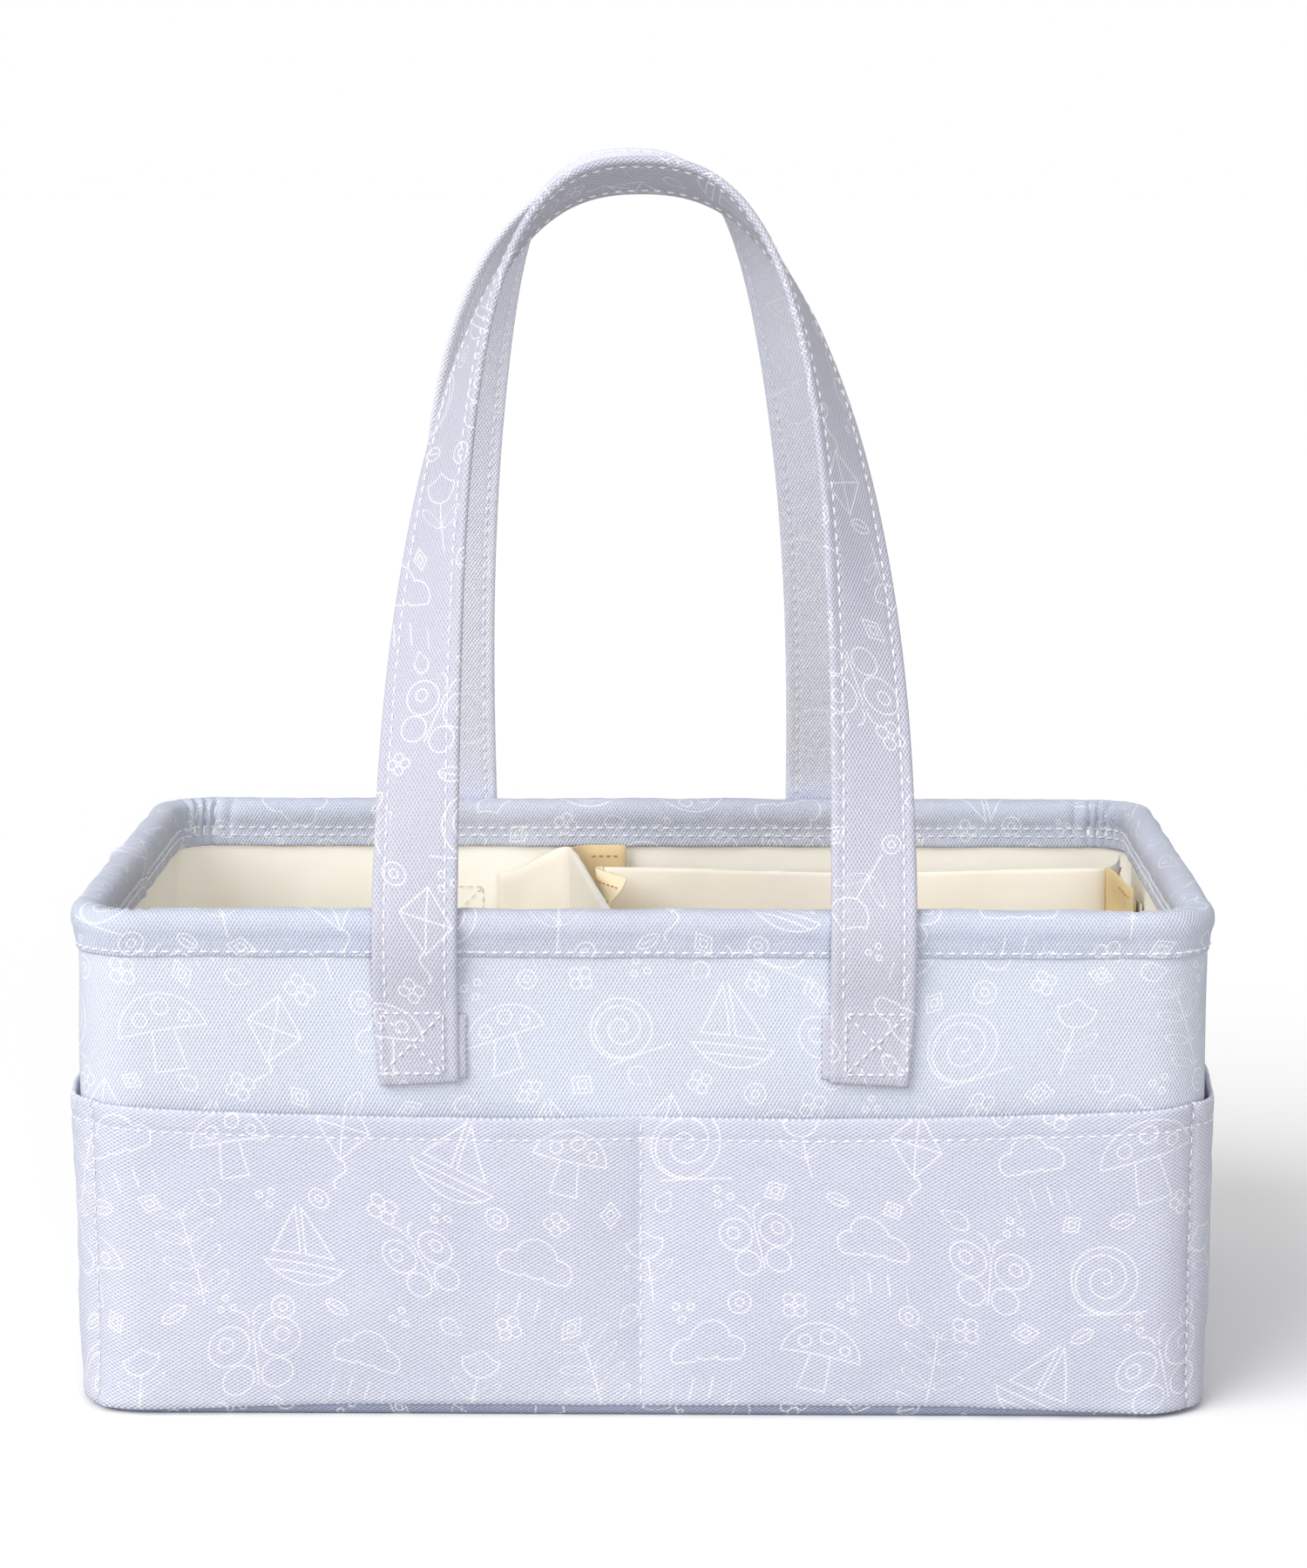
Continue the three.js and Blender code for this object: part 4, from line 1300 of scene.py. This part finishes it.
def strap_line(name):
    """The middle of a strap from end to end, the ways across and through it, and its widths.

    The loop's foot lies on the rolled rim, from where it leans, and rises as a flat arch.
    """
    sizes = HANDLES[name]
    side, rise, arch_share = sizes["side"], sizes["rise"], sizes["arch"]
    bend = ROLL_RADIUS + GAP + STRAP_THICKNESS / 2
    wanted = sizes["aside"] - half_depth - roll_reach
    lean = math.acos(wanted / math.hypot(bend, rise)) - math.atan2(rise, bend)
    up = np.array([0, -side * math.sin(lean), math.cos(lean)])
    outward = np.array([0, side * math.cos(lean), math.sin(lean)])

    def beside(x, reach, height):
        x, reach, height = np.broadcast_arrays(x, reach, height)
        return np.stack([x, side * (half_depth + reach), height], -1).astype(float)

    def leg(end):
        leg_x = sizes["shift"] + end * sizes["half"]
        share = np.linspace(0, 1, 60)
        sewn_reach = GAP + STRAP_THICKNESS / 2
        sewn = beside(leg_x - end * SEWN_SHIFT * (1 - share), sewn_reach,
                      sewn_height + (hinge_height - sewn_height) * share)
        rising = beside(leg_x, sewn_reach + (roll_reach + bend - sewn_reach) * smooth(share),
                        hinge_height + (rim_leg_bottom - hinge_height) * share)
        turn = lean * share
        over = beside(leg_x, roll_reach + bend * np.cos(turn), roll_height + bend * np.sin(turn))
        return np.concatenate([sewn[:-1], rising, over])

    angle = np.linspace(0, math.pi, 1500)[1:-1]
    foot = beside(sizes["shift"], roll_reach + bend * math.cos(lean),
                  roll_height + bend * math.sin(lean))
    across = SWAY * np.sin(angle) ** 2 - sizes["half"] * power(np.cos(angle), arch_share)
    arch = foot + up * (rise * power(np.sin(angle), arch_share))[:, None]
    arch[:, 0] += across
    line = np.concatenate([leg(-1), arch, leg(1)[::-1]])
    line, lengths = resampled(line, STRAP_STATIONS)
    line = rounded_line(line, 3)
    tangent = unit(np.gradient(line, axis=0))
    inwards = unit(np.cross(tangent, outward)) * -side
    turned = np.clip((line[:, 2] - rim_top) / sizes["twist"], 0, 1)
    twist = math.pi / 2 * turned ** sizes["turn"]
    width = inwards * np.cos(twist)[:, None] + outward * np.sin(twist)[:, None]
    width = unit(width - tangent * (width * tangent).sum(1, keepdims=True))
    end_share = np.clip((line[:, 2] - sewn_height) / (hinge_height - sewn_height), 0, 1)
    half = (SEWN_WIDTH + (STRAP_WIDTH - SEWN_WIDTH) * end_share) / 2
    through = np.cross(tangent, width) * -side
    return line, tangent, width, through, half, lengths


strap_lines = {name: strap_line(name) for name in HANDLES}
for name, (line, *_, lengths) in strap_lines.items():
    print(name, "strap:", round(lengths[-1], 3), "m long, top at", round(line[:, 2].max(), 4))

# %% [markdown]
# ## The body of a strap
#
# The section is a flat band with soft, folded edges. The rows of stitches press a shallow
# groove into both faces, and the cloth is a little puffed between them and at the edges.

# %% The body of a strap
EDGE_STITCH = 4.2 * MM
STITCH_GROOVE = 0.4 * MM
STRAP_SWELL = 0.12 * MM


def strap_offset(across, half, along, seed):
    """How far a face stands from the middle of the strap."""
    groove = bump(np.abs(across) - (half - EDGE_STITCH), 0.9 * MM)
    uneven = STRAP_SWELL * ripples(across, along, 0.03, seed)
    return STRAP_THICKNESS / 2 - 0.05 * MM - STITCH_GROOVE * groove + uneven


def strap_rings(name):
    line, tangent, width, through, half, lengths = strap_lines[name]
    shares = np.concatenate([np.linspace(-1, -0.6, 7)[:-1], np.linspace(-0.6, 0.6, 9),
                             np.linspace(0.6, 1, 7)[1:]])
    edge = STRAP_THICKNESS / 2
    rings = []
    for sign, order in ((1, 1), (-1, -1)):
        across = shares[None, ::order] * (half[:, None] - edge)
        offset = sign * strap_offset(across, half[:, None], lengths[:, None], 50 + sign)
        rings.append(line[:, None] + width[:, None] * across[..., None]
                     + through[:, None] * offset[..., None])
        for turn in np.linspace(0, math.pi, 7)[1:-1]:
            out = order * (half - edge + edge * math.sin(turn))
            lift = sign * edge * math.cos(turn) * 0.96
            rings.append((line + width * out[:, None] + through * lift)[:, None])
    rings = np.concatenate(rings, 1)
    caps = []
    for end, step in ((0, -1), (-1, 1)):
        centre, way = line[end], tangent[end] * step
        flat = rings[end] - centre
        depth = flat @ through[end]
        for grow, keep in ((0.5 * MM, 0.75), (0.8 * MM, 0.35), (0.85 * MM, 0.02)):
            caps.append(centre + flat - np.outer(depth * (1 - keep), through[end]) + way * grow)
    start_caps, end_caps = np.stack(caps[:3][::-1]), np.stack(caps[3:])
    return np.concatenate([start_caps, rings, end_caps])


def bend_at_hinge(obj):
    """Bakes the piece's placement into its points."""
    hinge_height + BEND
    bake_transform(obj)


strap_pieces = {}
for name in HANDLES:
    strap = skin_mesh(f"{name}_handle_strap", strap_rings(name), strap_canvas[name])
    bend_at_hinge(strap)
    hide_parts(f"handle_{name}_loop", f"handle_{name}_left_end",
                f"handle_{name}_right_end")
    strap_pieces[name] = strap
    print(strap.name, len(strap.data.polygons), "faces")

# %% [markdown]
# ## The dividers
#
# A divider is a sleeve of nylon over a thin board. At its ends the sleeve's two layers meet
# in a seam and go on as flaps, which turn flat against a wall or the other divider and hold
# there with hook and loop tape. A sleeve is a sheet that goes up one side, over the board's
# top edge and down the other side. The cross divider runs at a slant from the back wall to
# the front wall, and the long one stands between it and the right end.

# %% The sizes of the dividers
divider_low, divider_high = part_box("cross_divider_cover")
DIVIDER_HALF = 1.55 * MM
DIVIDER_TOP = divider_high.z
DIVIDER_BOTTOM = divider_low.z
COVER = 0.5 * MM
FLAP_TURN = 8 * MM
FLAP = 1 * MM
FLAP_CLOTH = FLAP * 0.8
LEAN_RISE = 12 * MM
PUFF = 0.5 * MM
FINE_PUFF = 0.15 * MM
FLAP_WAVE = 0.5 * MM
wall_face_y = divider_high.y - FLAP / 2
cross_half = wall_face_y - FLAP_TURN
CROSS_BACK_X = -31 * MM
CROSS_FRONT_X = -1 * MM


def cross_x(y):
    """Where the cross divider stands at a depth: it runs at a slant from wall to wall."""
    share = (wall_face_y - y) / (2 * wall_face_y)
    return CROSS_BACK_X + (CROSS_FRONT_X - CROSS_BACK_X) * share


print("dividers from", round(DIVIDER_BOTTOM, 4), "to", round(DIVIDER_TOP, 4), "m high")


# %% A sleeve
def near_top(height, rise):
    """1 at a divider's top edge, and 0 from the given distance below it."""
    return smooth((height - DIVIDER_TOP + rise) / rise)


def sleeve_points(start, end, seed, sag, lean):
    """A sleeve between two points in plan, as columns of points over its top edge."""
    start, end = np.array(start), np.array(end)
    span = np.linalg.norm(end - start)
    ahead = (end - start) / span
    side = np.array([ahead[1], -ahead[0]])
    along = steps(0, span, 3.5 * MM)
    rise = DIVIDER_TOP - DIVIDER_HALF - DIVIDER_BOTTOM
    over = math.pi * DIVIDER_HALF
    travel = np.concatenate([steps(0, rise, 4 * MM)[:-1],
                             np.linspace(rise, rise + over, 9),
                             steps(rise + over, 2 * rise + over, 4 * MM)[1:]])
    run, way = np.meshgrid(along, travel, indexing="ij")
    turn = np.clip((way - rise) / over, 0, 1) * math.pi
    first = way <= rise + over / 2
    ends = np.minimum(run, span - run)
    thin = 0.35 + 0.65 * smooth(ends / (7 * MM))
    height = np.where(way < rise, way, np.where(way > rise + over, 2 * rise + over - way, rise))
    loose = smooth(ends / (20 * MM)) * smooth((rise - height) / (12 * MM))
    puff = (PUFF * (1 + ripples(run, way, 0.06, seed)) * loose
            + FINE_PUFF * ripples(run, way, 0.02, seed + 1) * smooth(ends / (10 * MM)))
    out = DIVIDER_HALF * thin * np.cos(turn) + np.where(first, 1, -1) * puff
    dip = sag * np.sin(math.pi * run / span) ** 2
    z = DIVIDER_BOTTOM + height + DIVIDER_HALF * np.sin(turn) - dip * smooth(height / rise)
    back = lean * near_top(z, LEAN_RISE) * (1 - smooth(run / (26 * MM)))
    xy = start + ahead * (run - back)[..., None] + side * out[..., None]
    return np.concatenate([xy, z[..., None]], -1), np.stack([run, way], -1)


def make_sleeve(name, start, end, body, node, seed, sag=0.8 * MM, lean=0.0):
    points, uv = sleeve_points(start, end, seed, sag, lean)
    # The cross divider takes the nylon that is painted darker as shade.
    material = cross_nylon if body == "cross_divider" else divider_nylon
    piece = cloth_mesh(name, points, uv, COVER, material)
    return dress(piece, body, "divider_nylon", node)


# %% A flap
def flap_points(start, out, along, run_length, droop, seed, spread=0.0, turn_radius=FLAP_TURN,
                lean=0.0, curl=0.0, slack=0.0):
    """A flap that leaves a divider's end, turns, and lies along a wall."""
    start, out, along = (np.array(v, float) for v in (start, out, along))
    heights = steps(DIVIDER_BOTTOM, DIVIDER_TOP, 4 * MM)
    arc = turn_radius * math.pi / 2
    travel = np.concatenate([np.linspace(0, arc, 9), steps(arc, arc + run_length - turn_radius,
                                                            2.5 * MM)[1:]])
    run, height = np.meshgrid(travel, heights, indexing="ij")
    turn = np.clip(run / arc, 0, 1) * math.pi / 2
    ahead = turn_radius * np.sin(turn)
    aside = turn_radius * (1 - np.cos(turn)) + np.maximum(run - arc, 0)
    below = DIVIDER_TOP - height
    soften = spread * smooth(below / (22 * MM)) * bump(run - arc * 0.75, arc * 0.8)
    wave = FLAP_WAVE * ripples(run, height, 0.05, seed) * smooth(run / arc)
    top = near_top(height, LEAN_RISE)
    cut_off = slack * near_top(height, 1.4 * LEAN_RISE)
    ahead = ahead + (turn_radius * run / travel[-1] - ahead) * cut_off
    aside = aside + (run_length * run / travel[-1] - aside) * cut_off
    ahead = ahead - soften + wave + lean * top - curl * top * smooth(aside / run_length) ** 1.5
    xy = start + out * ahead[..., None] + along * aside[..., None]
    drop = droop * smooth(aside / run_length) * smooth((height - DIVIDER_BOTTOM) / 0.1)
    return (np.concatenate([xy, (height - drop)[..., None]], -1),
            np.stack([run, height], -1))


def make_flap(name, body, material, *shape, **options):
    points, uv = flap_points(*shape, **options)
    piece = cloth_mesh(name, points, uv, FLAP_CLOTH, material, fold=0.5)
    flap_pieces.append(dress(piece, body, "divider_nylon"))
    flap_grids[name] = points


# %% The cross divider
flap_pieces, flap_grids = [], {}
cross_back = (cross_x(cross_half), cross_half)
cross_front = (cross_x(-cross_half), -cross_half)
cross_sleeve = make_sleeve("cross_divider_sleeve", cross_back, cross_front, "cross_divider",
                           "cross_divider_cover", 60)
CROSS_OUTER, CROSS_INNER = 28.2 * MM, 20 * MM
for end, (place, out) in {"back": (cross_back, (0, 1)), "front": (cross_front, (0, -1))}.items():
    for hand, along, reach, droop, cloth in (
            ("left", (-1, 0), CROSS_OUTER, 11 * MM, cross_nylon),
            ("right", (1, 0), CROSS_INNER, 0, flap_nylon)):
        make_flap(f"cross_divider_{end}_{hand}_flap", "cross_divider", cloth, place, out, along,
                  reach, droop, 70 + len(flap_grids), spread=3 * MM if hand == "left" else 0.0)

# %% The long divider
LONG_Y = 60 * MM
CROSS_TURN = 3 * MM
LONG_FLAP = 21 * MM
TAPE_ROOM = 4.2 * MM
CORNER_LEAN = 1.6 * MM
long_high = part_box("long_divider_cover")[1]
slant = unit(np.array([cross_front[0] - cross_back[0], cross_front[1] - cross_back[1]]))
to_cross = np.array([slant[1], -slant[0]])
beside_gap = TAPE_ROOM - GAP / 2 + CROSS_TURN
long_left_x = cross_x(LONG_Y) + (DIVIDER_HALF + beside_gap) / abs(to_cross[0])
long_right_x = long_high.x - FLAP / 2 - FLAP_TURN
long_sleeve = make_sleeve("long_divider_sleeve", (long_left_x, LONG_Y), (long_right_x, LONG_Y),
                          "long_divider", "long_divider_cover", 90, sag=1.6 * MM,
                          lean=CORNER_LEAN)
for hand, along, cloth, droop, slack in (("front", (0, -1), flap_nylon, 4 * MM, 0.9),
                                         ("back", (0, 1), divider_nylon, -1 * MM, 0.6)):
    make_flap(f"long_divider_wall_{hand}_flap", "long_divider", cloth, (long_right_x, LONG_Y),
              (1, 0), along, LONG_FLAP, droop, 95 + len(flap_grids), slack=slack)
make_flap("long_divider_cross_flap", "long_divider", pale_flap_nylon, (long_left_x, LONG_Y),
          to_cross, slant, LONG_FLAP, 1 * MM, 99, turn_radius=CROSS_TURN, lean=CORNER_LEAN,
          curl=9 * MM)

# %% [markdown]
# ## Hook and loop tape
#
# A patch of hook tape is sewn to each flap, and grips a patch of loop tape on the lining or
# on the other divider. The patches are thin, thinner at their edges, and have a tufted face.

# %% The patches
HOOK_HEIGHT, LOOP_HEIGHT = 0.8 * MM, 1.5 * MM
PATCH_STEP = 1 * MM
TUFT = 0.12 * MM


def patch_mesh(name, node, material):
    """A tufted patch in place of a node, along the longest way of its box."""
    low, high = (np.array(corner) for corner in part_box(node))
    size = high - low
    slanted = min(size[0], size[1]) > 1.9 * MM
    centre = (low + high) / 2
    if slanted:
        ahead = np.append(slant, 0.0)
        thickness = LOOP_HEIGHT if "loop" in node else HOOK_HEIGHT
        width = (size[1] - thickness * abs(ahead[0])) / abs(ahead[1])
    else:
        axis = int(np.argmax(size[:2]))
        ahead = np.eye(3)[axis]
        thickness, width = size[1 - axis], size[axis]
    run, rise = np.meshgrid(steps(-width / 2, width / 2, PATCH_STEP),
                            steps(-size[2] / 2, size[2] / 2, PATCH_STEP), indexing="ij")
    normal = np.cross(ahead, (0, 0, 1))
    edge = np.minimum(width / 2 - np.abs(run), size[2] / 2 - np.abs(rise))
    tuft = TUFT * ripples(run, rise, 0.006, 120) - 0.1 * MM
    bow = thickness / 2 * (0.7 + 0.3 * smooth(edge / (1.5 * MM))) + tuft
    points = (centre + ahead * run[..., None] + np.array([0, 0, 1]) * rise[..., None]
              + normal * bow[..., None])
    return cloth_mesh(name, points, np.stack([run, rise], -1), np.maximum(2 * bow, 0.2 * MM),
                      material)


patch_pieces = []
for node, body in (("lining_back_loop", "caddy"), ("lining_front_loop", "caddy"),
                   ("lining_right_loop", "caddy"), ("cross_divider_loop", "cross_divider"),
                   ("cross_divider_back_hook", "cross_divider"),
                   ("cross_divider_front_hook", "cross_divider"),
                   ("long_divider_wall_hook", "long_divider"),
                   ("long_divider_cross_hook", "long_divider")):
    is_loop = "loop" in node
    patch = patch_mesh(node + "_tape", node, loop_tape if is_loop else hook_tape)
    patch_pieces.append(dress(patch, body, "lining_nylon" if is_loop else "hook_tape", node))

# %% [markdown]
# ## Stitches
#
# Each stitch is real thread here: a short skin that comes up through the cloth, lies on it
# and goes down again. A row follows a path on the cloth's own surface, so it stays on it over
# each swell and groove. All the rows of one kind on one body are joined into one piece.

# %% Making stitches
THREAD = 0.66 * MM
RIM_THREAD = 0.76 * MM
RING_STEP = 0.7 * MM
STITCH_SIDES = 6
STITCH_RISE = np.array([-0.5, 0.22, 0.45, 0.45, 0.22, -0.5])
STITCH_GIRTH = np.array([0.35, 0.8, 1.0, 1.0, 0.8, 0.35])


def stitches_along(path, normals, pitch, thread=THREAD, gap=0.28):
    """Rings for a row of stitches: stitches by rings by sides by 3."""
    lengths = np.concatenate([[0], np.cumsum(np.linalg.norm(np.diff(path, axis=0), axis=1))])
    count = max(1, round(lengths[-1] / pitch))
    step = lengths[-1] / count
    shares = np.linspace(0, 1, len(STITCH_RISE))
    where = (np.arange(count)[:, None] + gap / 2 + shares * (1 - gap)) * step

    def at(values):
        return np.stack([np.interp(where, lengths, values[:, i]) for i in range(3)], -1)

    centre, out = at(path), unit(at(normals))
    ahead = unit(np.gradient(centre, axis=1))
    side = unit(np.cross(ahead, out))
    centre = centre + out * (STITCH_RISE * thread)[:, None]
    turns = np.linspace(0, 2 * math.pi, STITCH_SIDES + 1)[:-1]
    ring = (side[..., None, :] * np.cos(turns)[:, None]
            + out[..., None, :] * np.sin(turns)[:, None])
    return centre[..., None, :] + ring * (STITCH_GIRTH * thread / 2)[:, None, None]


def thread_piece(name, rows, material):
    """Joins rows of stitches into one piece."""
    rings = np.concatenate(rows)
    count, levels, sides = rings.shape[:3]
    number = np.arange(count * levels * sides).reshape(count, levels, sides)
    number = np.concatenate([number, number[:, :, :1]], 2)
    quads = np.stack([number[:, :-1, :-1], number[:, :-1, 1:], number[:, 1:, 1:],
                      number[:, 1:, :-1]], -1).reshape(-1, 4)
    along, girth = np.meshgrid(np.arange(levels) * RING_STEP, np.linspace(0, 1, sides + 1),
                               indexing="ij")
    uv = np.broadcast_to(np.stack([along, girth], -1), (count, levels, sides + 1, 2))
    corner_uv = np.stack([uv[:, :-1, :-1], uv[:, :-1, 1:], uv[:, 1:, 1:], uv[:, 1:, :-1]], -2)
    print(f"{name}: {count} stitches")
    return mesh_object(name, rings.reshape(-1, 3), quads, corner_uv.reshape(-1, 2), material)


def on_face(face, u, v, near_u=0.3 * MM, near_v=0.3 * MM):
    """Places and ways out on a surface that a function gives."""
    across = face(u + near_u, v) - face(u - near_u, v)
    up = face(u, v + near_v) - face(u, v - near_v)
    return face(u, v), unit(np.cross(across, up))


# %% Stitches on the box
RIM_PITCH = 4.2 * MM
POCKET_PITCH = 4.3 * MM


def row_round(rise):
    """A row of stitches on the rim's binding, all round the box."""
    runs = steps(0, perimeter, 1 * MM)
    path, normals = on_face(rim_face, runs, np.full_like(runs, rise))
    return stitches_along(path, normals, RIM_PITCH, RIM_THREAD)


def pocket_rows(wall):
    """The row along a pocket band's hem, and the rows that divide a long wall's band."""
    def row(run, share):
        path, normals = on_face(partial(pocket_face, wall), run, share, near_v=0.003)
        return stitches_along(path, normals, POCKET_PITCH)

    end = half_run(wall)
    runs = steps(-end + 1 * MM, end - 1 * MM, 1 * MM)
    rows = [row(runs, 1 - HEM / (pocket_top(wall, runs) - pocket_low.z))]
    if POCKETS[wall] > 1:
        shares = steps(0.02, 0.985, 0.008)
        for seam in np.clip(pocket_seams(wall), -end + 0.8 * MM, end - 0.8 * MM):
            rows.append(row(np.full_like(shares, seam), shares))
    return rows


wall_rows = [row_round(OUTER_SEWING)]
wall_rows += [row_round(rim_depth - inset) for inset in INNER_SEWING]
for wall in WALLS:
    wall_rows += pocket_rows(wall)
dress(thread_piece("box_thread", wall_rows, white_thread), "caddy", "pocket_canvas")

# %% [markdown]
# ## Stitches on the straps
#
# Two rows run along each strap near its edges, on both faces, and a box with a cross in it
# holds each sewn end. The rows follow the strap. The boxes lie below the hinge and stay with
# the wall.

# %% Stitches on the straps
STRAP_THREAD = 0.8 * MM
LINING_THREAD = 0.38 * MM
STRAP_PITCH = 4.6 * MM
BOX_PITCH = 3.6 * MM
SUNK = 0.02 * MM
BOX_HALF = 10.2 * MM
BOX_ASIDE = 1.1 * MM
BOX_LOW = sewn_height + 3.1 * MM
BOX_HIGH = hinge_height - 0.3 * MM


def strap_rows(name):
    line, _, width, through, half, lengths = strap_lines[name]
    rows = []
    for sign in (1, -1):
        for edge in (1, -1):
            across = edge * (half - EDGE_STITCH)
            offset = sign * (strap_offset(across, half, lengths, 50 + sign) - SUNK)
            path = line + width * across[:, None] + through * offset[:, None]
            keep = slice(1, -1)
            if sign < 0:
                high = np.flatnonzero(line[:, 2] > hinge_height + 2 * MM)
                keep = slice(high[0], high[-1] + 1)
            rows.append(stitches_along(path[keep], sign * through[keep], STRAP_PITCH,
                                       STRAP_THREAD))
    return rows


def box_rows(name):
    """The box and cross on each end of a strap, and the same rows inside, on the lining."""
    sizes = HANDLES[name]
    side = sizes["side"]
    face_y = side * (half_depth + GAP + STRAP_THICKNESS - SUNK)
    outside, inside = [], []
    for end in (-1, 1):
        middle = sizes["shift"] + end * (sizes["half"] + BOX_ASIDE)
        left, right = middle - BOX_HALF, middle + BOX_HALF
        corners = [(left, face_y, BOX_LOW), (right, face_y, BOX_LOW),
                   (right, face_y, BOX_HIGH), (left, face_y, BOX_HIGH)]
        for a, b in ((0, 1), (1, 2), (2, 3), (3, 0), (0, 2), (3, 1)):
            path = np.linspace(corners[a], corners[b], 12)
            normals = np.broadcast_to((0.0, side, 0.0), path.shape)
            outside.append(stitches_along(path, normals, BOX_PITCH, STRAP_THREAD))
            path[:, 1] = side * (half_depth + lining_reach - 0.1 * MM)
            inside.append(stitches_along(path, -normals, BOX_PITCH, LINING_THREAD))
    return outside, inside


rows_inside = []
for name in HANDLES:
    bend_at_hinge(thread_piece(f"{name}_handle_thread", strap_rows(name), white_thread))
    rows_outside, rows = box_rows(name)
    rows_inside += rows
    dress(thread_piece(f"{name}_handle_box_thread", rows_outside, white_thread), "caddy",
          "strap_canvas")
dress(thread_piece("lining_box_thread", rows_inside, cream_thread), "caddy", "lining_nylon")

# %% [markdown]
# ## The layer folded under
#
# A strap's end is folded under before it is sewn on. The folded layer is a little out of
# line, and peeks out beside the strap on its inner side.

# %% The folded layers
FOLD_PEEK = 1.8 * MM
fold_pieces = []
for name, sizes in HANDLES.items():
    for end, hand in ((-1, "left"), (1, "right")):
        middle = sizes["shift"] + end * (sizes["half"] - SEWN_SHIFT - FOLD_PEEK)
        run, rise = np.meshgrid(steps(-SEWN_WIDTH / 2, SEWN_WIDTH / 2, 1.5 * MM),
                                steps(sewn_height + 1.4 * MM, hinge_height - 1.5 * MM, 1.5 * MM),
                                indexing="ij")
        wave = 0.15 * MM * ripples(run, rise, 0.012, 130)
        reach = GAP + STRAP_THICKNESS / 2 - 0.1 * MM + wave
        sideways = run * -sizes["side"]
        points = np.stack([middle + sideways, sizes["side"] * (half_depth + reach), rise], -1)
        under = cloth_mesh(f"{name}_handle_{hand}_fold", points, np.stack([run, rise], -1),
                           CANVAS, strap_canvas[name], fold=0.5)
        fold_pieces.append(dress(under, "caddy", "strap_canvas"))

# %% [markdown]
# ## Stitches on the flaps
#
# The flaps are sewn with a golden thread. One row runs near a flap's free edge and one near
# its top edge, and both show on the two sides. The cross divider's left flaps, which are of
# the same nylon as its sleeve, have no such rows.

# %% Stitches on the flaps
FLAP_PITCH = 3 * MM
FLAP_INSET = 3 * MM


def flap_rows(points):
    """Rows near a flap's free edge and its top edge, on both its sides."""
    up = np.gradient(points, axis=1)
    across = np.gradient(points, axis=0)
    normal = unit(np.cross(across, up))
    columns = np.linalg.norm(points[-1, -1, :2] - points[:, -1, :2], axis=1)
    column = int(np.argmin(np.abs(columns - FLAP_INSET)))
    near_edge = (column, slice(points.shape[1] // 2, -2))
    near_top_edge = (slice(len(points) // 2, column + 1), -2)
    rows = []
    for sign, lift in ((1, 0.0), (-1, FLAP_CLOTH)):
        for spots in (near_edge, near_top_edge):
            path = points[spots] - normal[spots] * lift
            rows.append(stitches_along(path, sign * normal[spots], FLAP_PITCH))
    return rows


for body, prefix in (("cross_divider", "cross"), ("long_divider", "long")):
    rows = [row for label, grid in flap_grids.items() if label.startswith(prefix)
            and "left" not in label for row in flap_rows(grid)]
    dress(thread_piece(f"{body}_flap_thread", rows, gold_thread), body, "divider_nylon")

# %% The sheets' sizes
def cut_area(obj):
    """Half of the area of a thin closed sheet, in square metres."""
    return sum(p.area for p in obj.data.polygons) / 2


def cut_size(obj):
    """The width and length of the cloth, from its own coordinates."""
    spots = np.zeros(len(obj.data.loops) * 2, np.float32)
    obj.data.uv_layers["cloth"].data.foreach_get("uv", spots)
    return [float(side) for side in np.ptp(spots.reshape(-1, 2), axis=0)]


def declare(obj, size=None, shaped=False):
    """Prints a sheet's size and how much of it the area fills; being shaped changes nothing."""
    width, depth = size or cut_size(obj)
    area = cut_area(obj)
    print(f"{obj.name}: {width:.3f} x {depth:.3f} m, area share {area / width / depth:.3f}")
    min(area, width * depth) if shaped else None


floor_size = (2 * half_length, 2 * half_depth)
declare(wrap)
declare(lining)
declare(binding)
declare(base_cloth, (2 * base_high.x, 2 * base_high.y), True)
declare(lining_floor, floor_size, True)
for piece in pocket_pieces.values():
    declare(piece, shaped=True)
declare(cross_sleeve)
declare(long_sleeve)
for piece in flap_pieces:
    declare(piece)
for piece in patch_pieces:
    declare(piece)
for piece in fold_pieces:
    declare(piece)
for name, strap in strap_pieces.items():
    size = (STRAP_WIDTH + STRAP_THICKNESS, float(strap_lines[name][-1][-1]))
    declare(strap, size)
